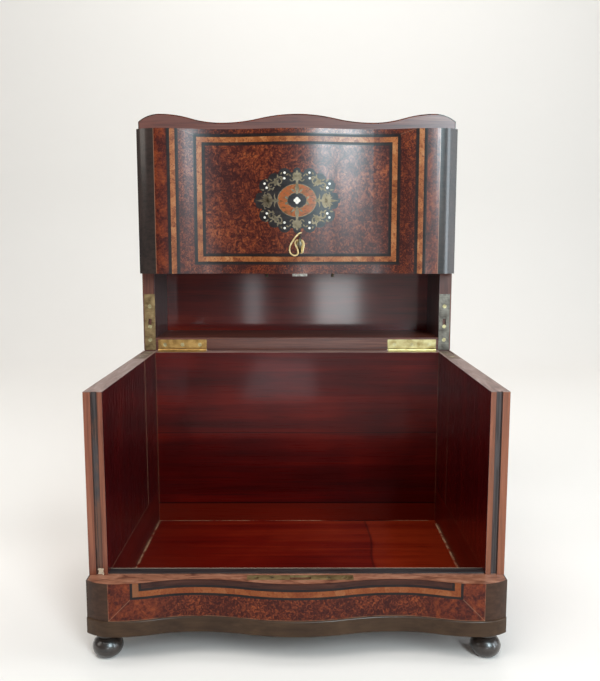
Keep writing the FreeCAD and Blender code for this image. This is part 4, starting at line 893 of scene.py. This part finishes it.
arabesque = [oval(RING_HALF, RING_RISE, RING_LINE),
             oval(EYE_HALF, EYE_RISE, EYE_LINE, EYE_SCALLOPS, EYE_SWELL)]
for up in (1, -1):
    arabesque.append(strip([(0, up * RING_RISE * share) for share in (0.47, 0.7, 1.0, 1.25, 1.45)],
                           [0.9, 2.3, 1.3, 1.2, 0.5]))
    for spread, length in TOP_PALMETTE:
        arabesque.append(leaf((0, up * 23.6), up * 90 + spread, length, 1.15))
    for side in (1, -1):
        outward = 90 - side * 90
        arabesque += [
            tendril((side * 4.7, up * 21.6), outward, -side * up * 300, 2.5, 0.7, 0.55),
            leaf((side * 6.2, up * 24.2), up * (90 - side * 40), 3.2, 0.7),
            leaf((side * 2.2, up * 8.6), up * (90 - side * 52), 5.2, 1.1),
            leaf((side * 9.2, up * 1.6), outward + side * up * 38, 4.4, 1.2)]
for side in (1, -1):
    arabesque.append(strip([(side * reach, 0) for reach in (19.9, 22.4, 25.0, 28.5)],
                           [1.0, 0.6, 1.1, 0.6]))
    for spread, length in SIDE_PALMETTE:
        arabesque.append(leaf((side * 28.8, 0), 90 - side * 90 + spread, length, 1.25))
    for up in (1, -1):
        arabesque += [
            strip([(side * 21.4, up * 0.4), (side * 23.0, up * 2.4), (side * 23.4, up * 4.8),
                   (side * 22.8, up * 7.0)], [0.9, 0.8, 0.6, 0.15]),
            tendril((side * 32.4, up * 7.6), 90 + side * 80, side * up * 290, 2.4, 0.6, 0.5)]
        for turn, length in FLOWER:
            arabesque.append(leaf((side * 21.8, up * 18.6), turn, length, 1.35))
        arabesque += [
            strip([(side * 16.6, up * 14.4), (side * 18.6, up * 15.4), (side * 20.4, up * 17.0)],
                  [0.3, 0.8, 0.5]),
            tendril((side * 27.0, up * 15.4), 90 + side * 40, -side * up * 310, 2.7, 0.7, 0.6),
            tendril((side * 16.6, up * 21.8), 90 - side * 60, side * up * 310, 2.6, 0.7, 0.6)]
        for root, turn, length in SPRIGS:
            turned = turn if side > 0 else 180 - turn
            arabesque.append(leaf((side * root[0], up * root[1]), up * turned, length, 0.8))

veneer_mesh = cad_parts["front_veneer"].data
front_face = BVHTree.FromPolygons([corner.co.copy() for corner in veneer_mesh.vertices],
                                  [poly.vertices[:] for poly in veneer_mesh.polygons])

metal_build = bmesh.new()
for pairs in arabesque:
    rows = []
    for pair in pairs:
        row = []
        for beside, above in pair:
            x = CARTOUCHE_X + beside / MILLIMETRES
            z = CARTOUCHE_Z + above / MILLIMETRES
            surface = front_face.ray_cast(Vector((x, 0, PLAIN_HEIGHT)), Vector((0, 1, 0)))[0].y
            row.append((metal_build.verts.new((x, surface - METAL_PROUD, z)),
                        metal_build.verts.new((x, surface + METAL_DEPTH, z))))
        rows.append(row)
    for (left, right), (next_left, next_right) in zip(rows, rows[1:]):
        for quad in ((left[0], right[0], next_right[0], next_left[0]),
                     (left[1], next_left[1], next_right[1], right[1]),
                     (left[0], next_left[0], next_left[1], left[1]),
                     (right[0], right[1], next_right[1], next_right[0])):
            metal_build.faces.new(quad)
    for row, flip in ((rows[0], 1), (rows[-1], -1)):
        ring = (row[0][0], row[0][1], row[1][1], row[1][0])
        metal_build.faces.new(ring[::flip])
sawn_brass = aged_brass("sawn_brass", tint(74, 63, 50), tint(112, 98, 82), 0.40)
dress(sawn_brass, "cartouche_scrolls")
cartouche_arabesque = new_piece("cartouche_arabesque", metal_build, sawn_brass)
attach(cartouche_arabesque, "front")


# LOCK AND KEY
# A steel lock let into the front's lower edge, with two brass pegs, a bolt that the key
# throws, a brass liner round the keyhole and a plain key of darker steel left in it.
def rubbed_steel(name, dark, light, rough):
    """Steel gone dull in patches."""
    made = Finish(name, Metallic=1.0)
    rub = made.noise((260, 260, 260), 4, 0.6, 0.4)
    made.give(Base_Color=made.ramp(rub, (0.34, dark), (0.62, light)), Roughness=rub * 0.3 + rough)
    return made


dress(rubbed_steel("steel", tint(92, 88, 82), tint(172, 168, 160), 0.2), "lock_bolt", "lock_case")
dress(rubbed_steel("dark_steel", tint(54, 48, 42), tint(116, 106, 92), 0.28), "key")
dress(aged_brass("pin_brass", tint(46, 40, 34), tint(92, 80, 64), 0.4), "locating_pins")
dress(aged_brass("liner_brass", DULL, RUBBED, 0.25), "keyhole_liner")

# KEY CORD
# A short end of gilt cord tied through the key's bow, hanging in loops in front of it.
# Three strands of thread are laid up round each other along its line.
BOW = (0.0028, 0.050825, 0.32605)
CORD_POINTS = (
    (2.8, -4.5, -8.6), (3.5, -4.2, -5.0), (4.4, -3.4, -0.4), (3.4, -1.8, 3.4),
    (-1.2, -0.9, 4.6), (-5.2, -3.2, 2.2), (-4.0, -6.6, -1.8), (-1.9, -9.4, -5.6),
    (-1.4, -10.8, -9.8), (-4.6, -10.8, -12.0), (-8.6, -10.2, -10.4), (-10.6, -9.4, -6.4),
    (-9.6, -9.2, -1.2), (-6.8, -9.8, 3.6), (-3.6, -9.0, 7.8), (-0.6, -5.6, 10.8), (1.6, -1.4, 11.4))
CORD_THICK, CORD_LENGTH, CORD_PITCH = 0.0017, 0.0743, 0.0052
STRANDS, STRAND_SIDES, LINE_STEPS = 3, 8, 12
STRAND_HALF = CORD_THICK * 0.26
STRAND_OFF = CORD_THICK / 2 - STRAND_HALF
THREAD_DEPTH = 0.0001

cord_curve = bpy.data.curves.new("gilt_cord", "CURVE")
cord_curve.dimensions = "3D"
cord_curve.resolution_u = LINE_STEPS
cord_line = cord_curve.splines.new("NURBS")
cord_line.points.add(len(CORD_POINTS) - 1)
for point, place in zip(cord_line.points, CORD_POINTS):
    point.co = [middle + part / MILLIMETRES for middle, part in zip(BOW, place)] + [1]
cord_line.order_u = 3
cord_line.use_endpoint_u = True
cord_guide = bpy.data.objects.new("cord_guide", cord_curve)
bpy.context.scene.collection.objects.link(cord_guide)
guide_mesh = bpy.data.meshes.new_from_object(
    cord_guide.evaluated_get(bpy.context.evaluated_depsgraph_get()))
cord_path = [corner.co.copy() for corner in guide_mesh.vertices]
bpy.data.objects.remove(cord_guide)


def ringed(middle, first, second, reach, turn):
    """The place at a turn on a circle about a middle."""
    return middle + (first * math.cos(turn) + second * math.sin(turn)) * reach


cord_build = bmesh.new()
across = Vector((0, 1, 0))
run = 0.0
strand_rings = [[] for strand in range(STRANDS)]
for i, middle in enumerate(cord_path):
    ahead = cord_path[min(i + 1, len(cord_path) - 1)]
    behind = cord_path[max(i - 1, 0)]
    way = (ahead - behind).normalized()
    run += (middle - behind).length
    across = (across - way * across.dot(way)).normalized()
    athwart = way.cross(across)
    for strand, rings in enumerate(strand_rings):
        lay = 2 * math.pi * (run / CORD_PITCH + strand / STRANDS)
        strand_middle = ringed(middle, across, athwart, STRAND_OFF, lay)
        rings.append([cord_build.verts.new(ringed(strand_middle, across, athwart, STRAND_HALF,
                                                  2 * math.pi * k / STRAND_SIDES))
                      for k in range(STRAND_SIDES)])
for rings in strand_rings:
    for ring, after in zip(rings, rings[1:]):
        for k in range(STRAND_SIDES):
            beside = (k + 1) % STRAND_SIDES
            cord_build.faces.new((ring[k], ring[beside], after[beside], after[k]))
    cord_build.faces.new(rings[0][::-1])
    cord_build.faces.new(rings[-1])
gilt = Finish("gilt_thread", Roughness=0.5, Sheen_Weight=0.3)
thread = gilt.noise((1500, 1500, 1500), 3, 0.6)
patch = gilt.noise((260, 260, 260), 2, 0.5)
gilt.give(Base_Color=gilt.ramp(thread * 0.5 + patch * 0.5, (0.36, tint(180, 150, 92)),
                               (0.50, tint(214, 190, 130)), (0.64, tint(236, 216, 162))),
          Normal=gilt.bump(thread, THREAD_DEPTH))
gilt_cord = new_piece("gilt_cord", cord_build, gilt)
gilt_cord.data.polygons.foreach_set("use_smooth", [True] * len(gilt_cord.data.polygons))
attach(gilt_cord, "key")
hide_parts("key_cord")
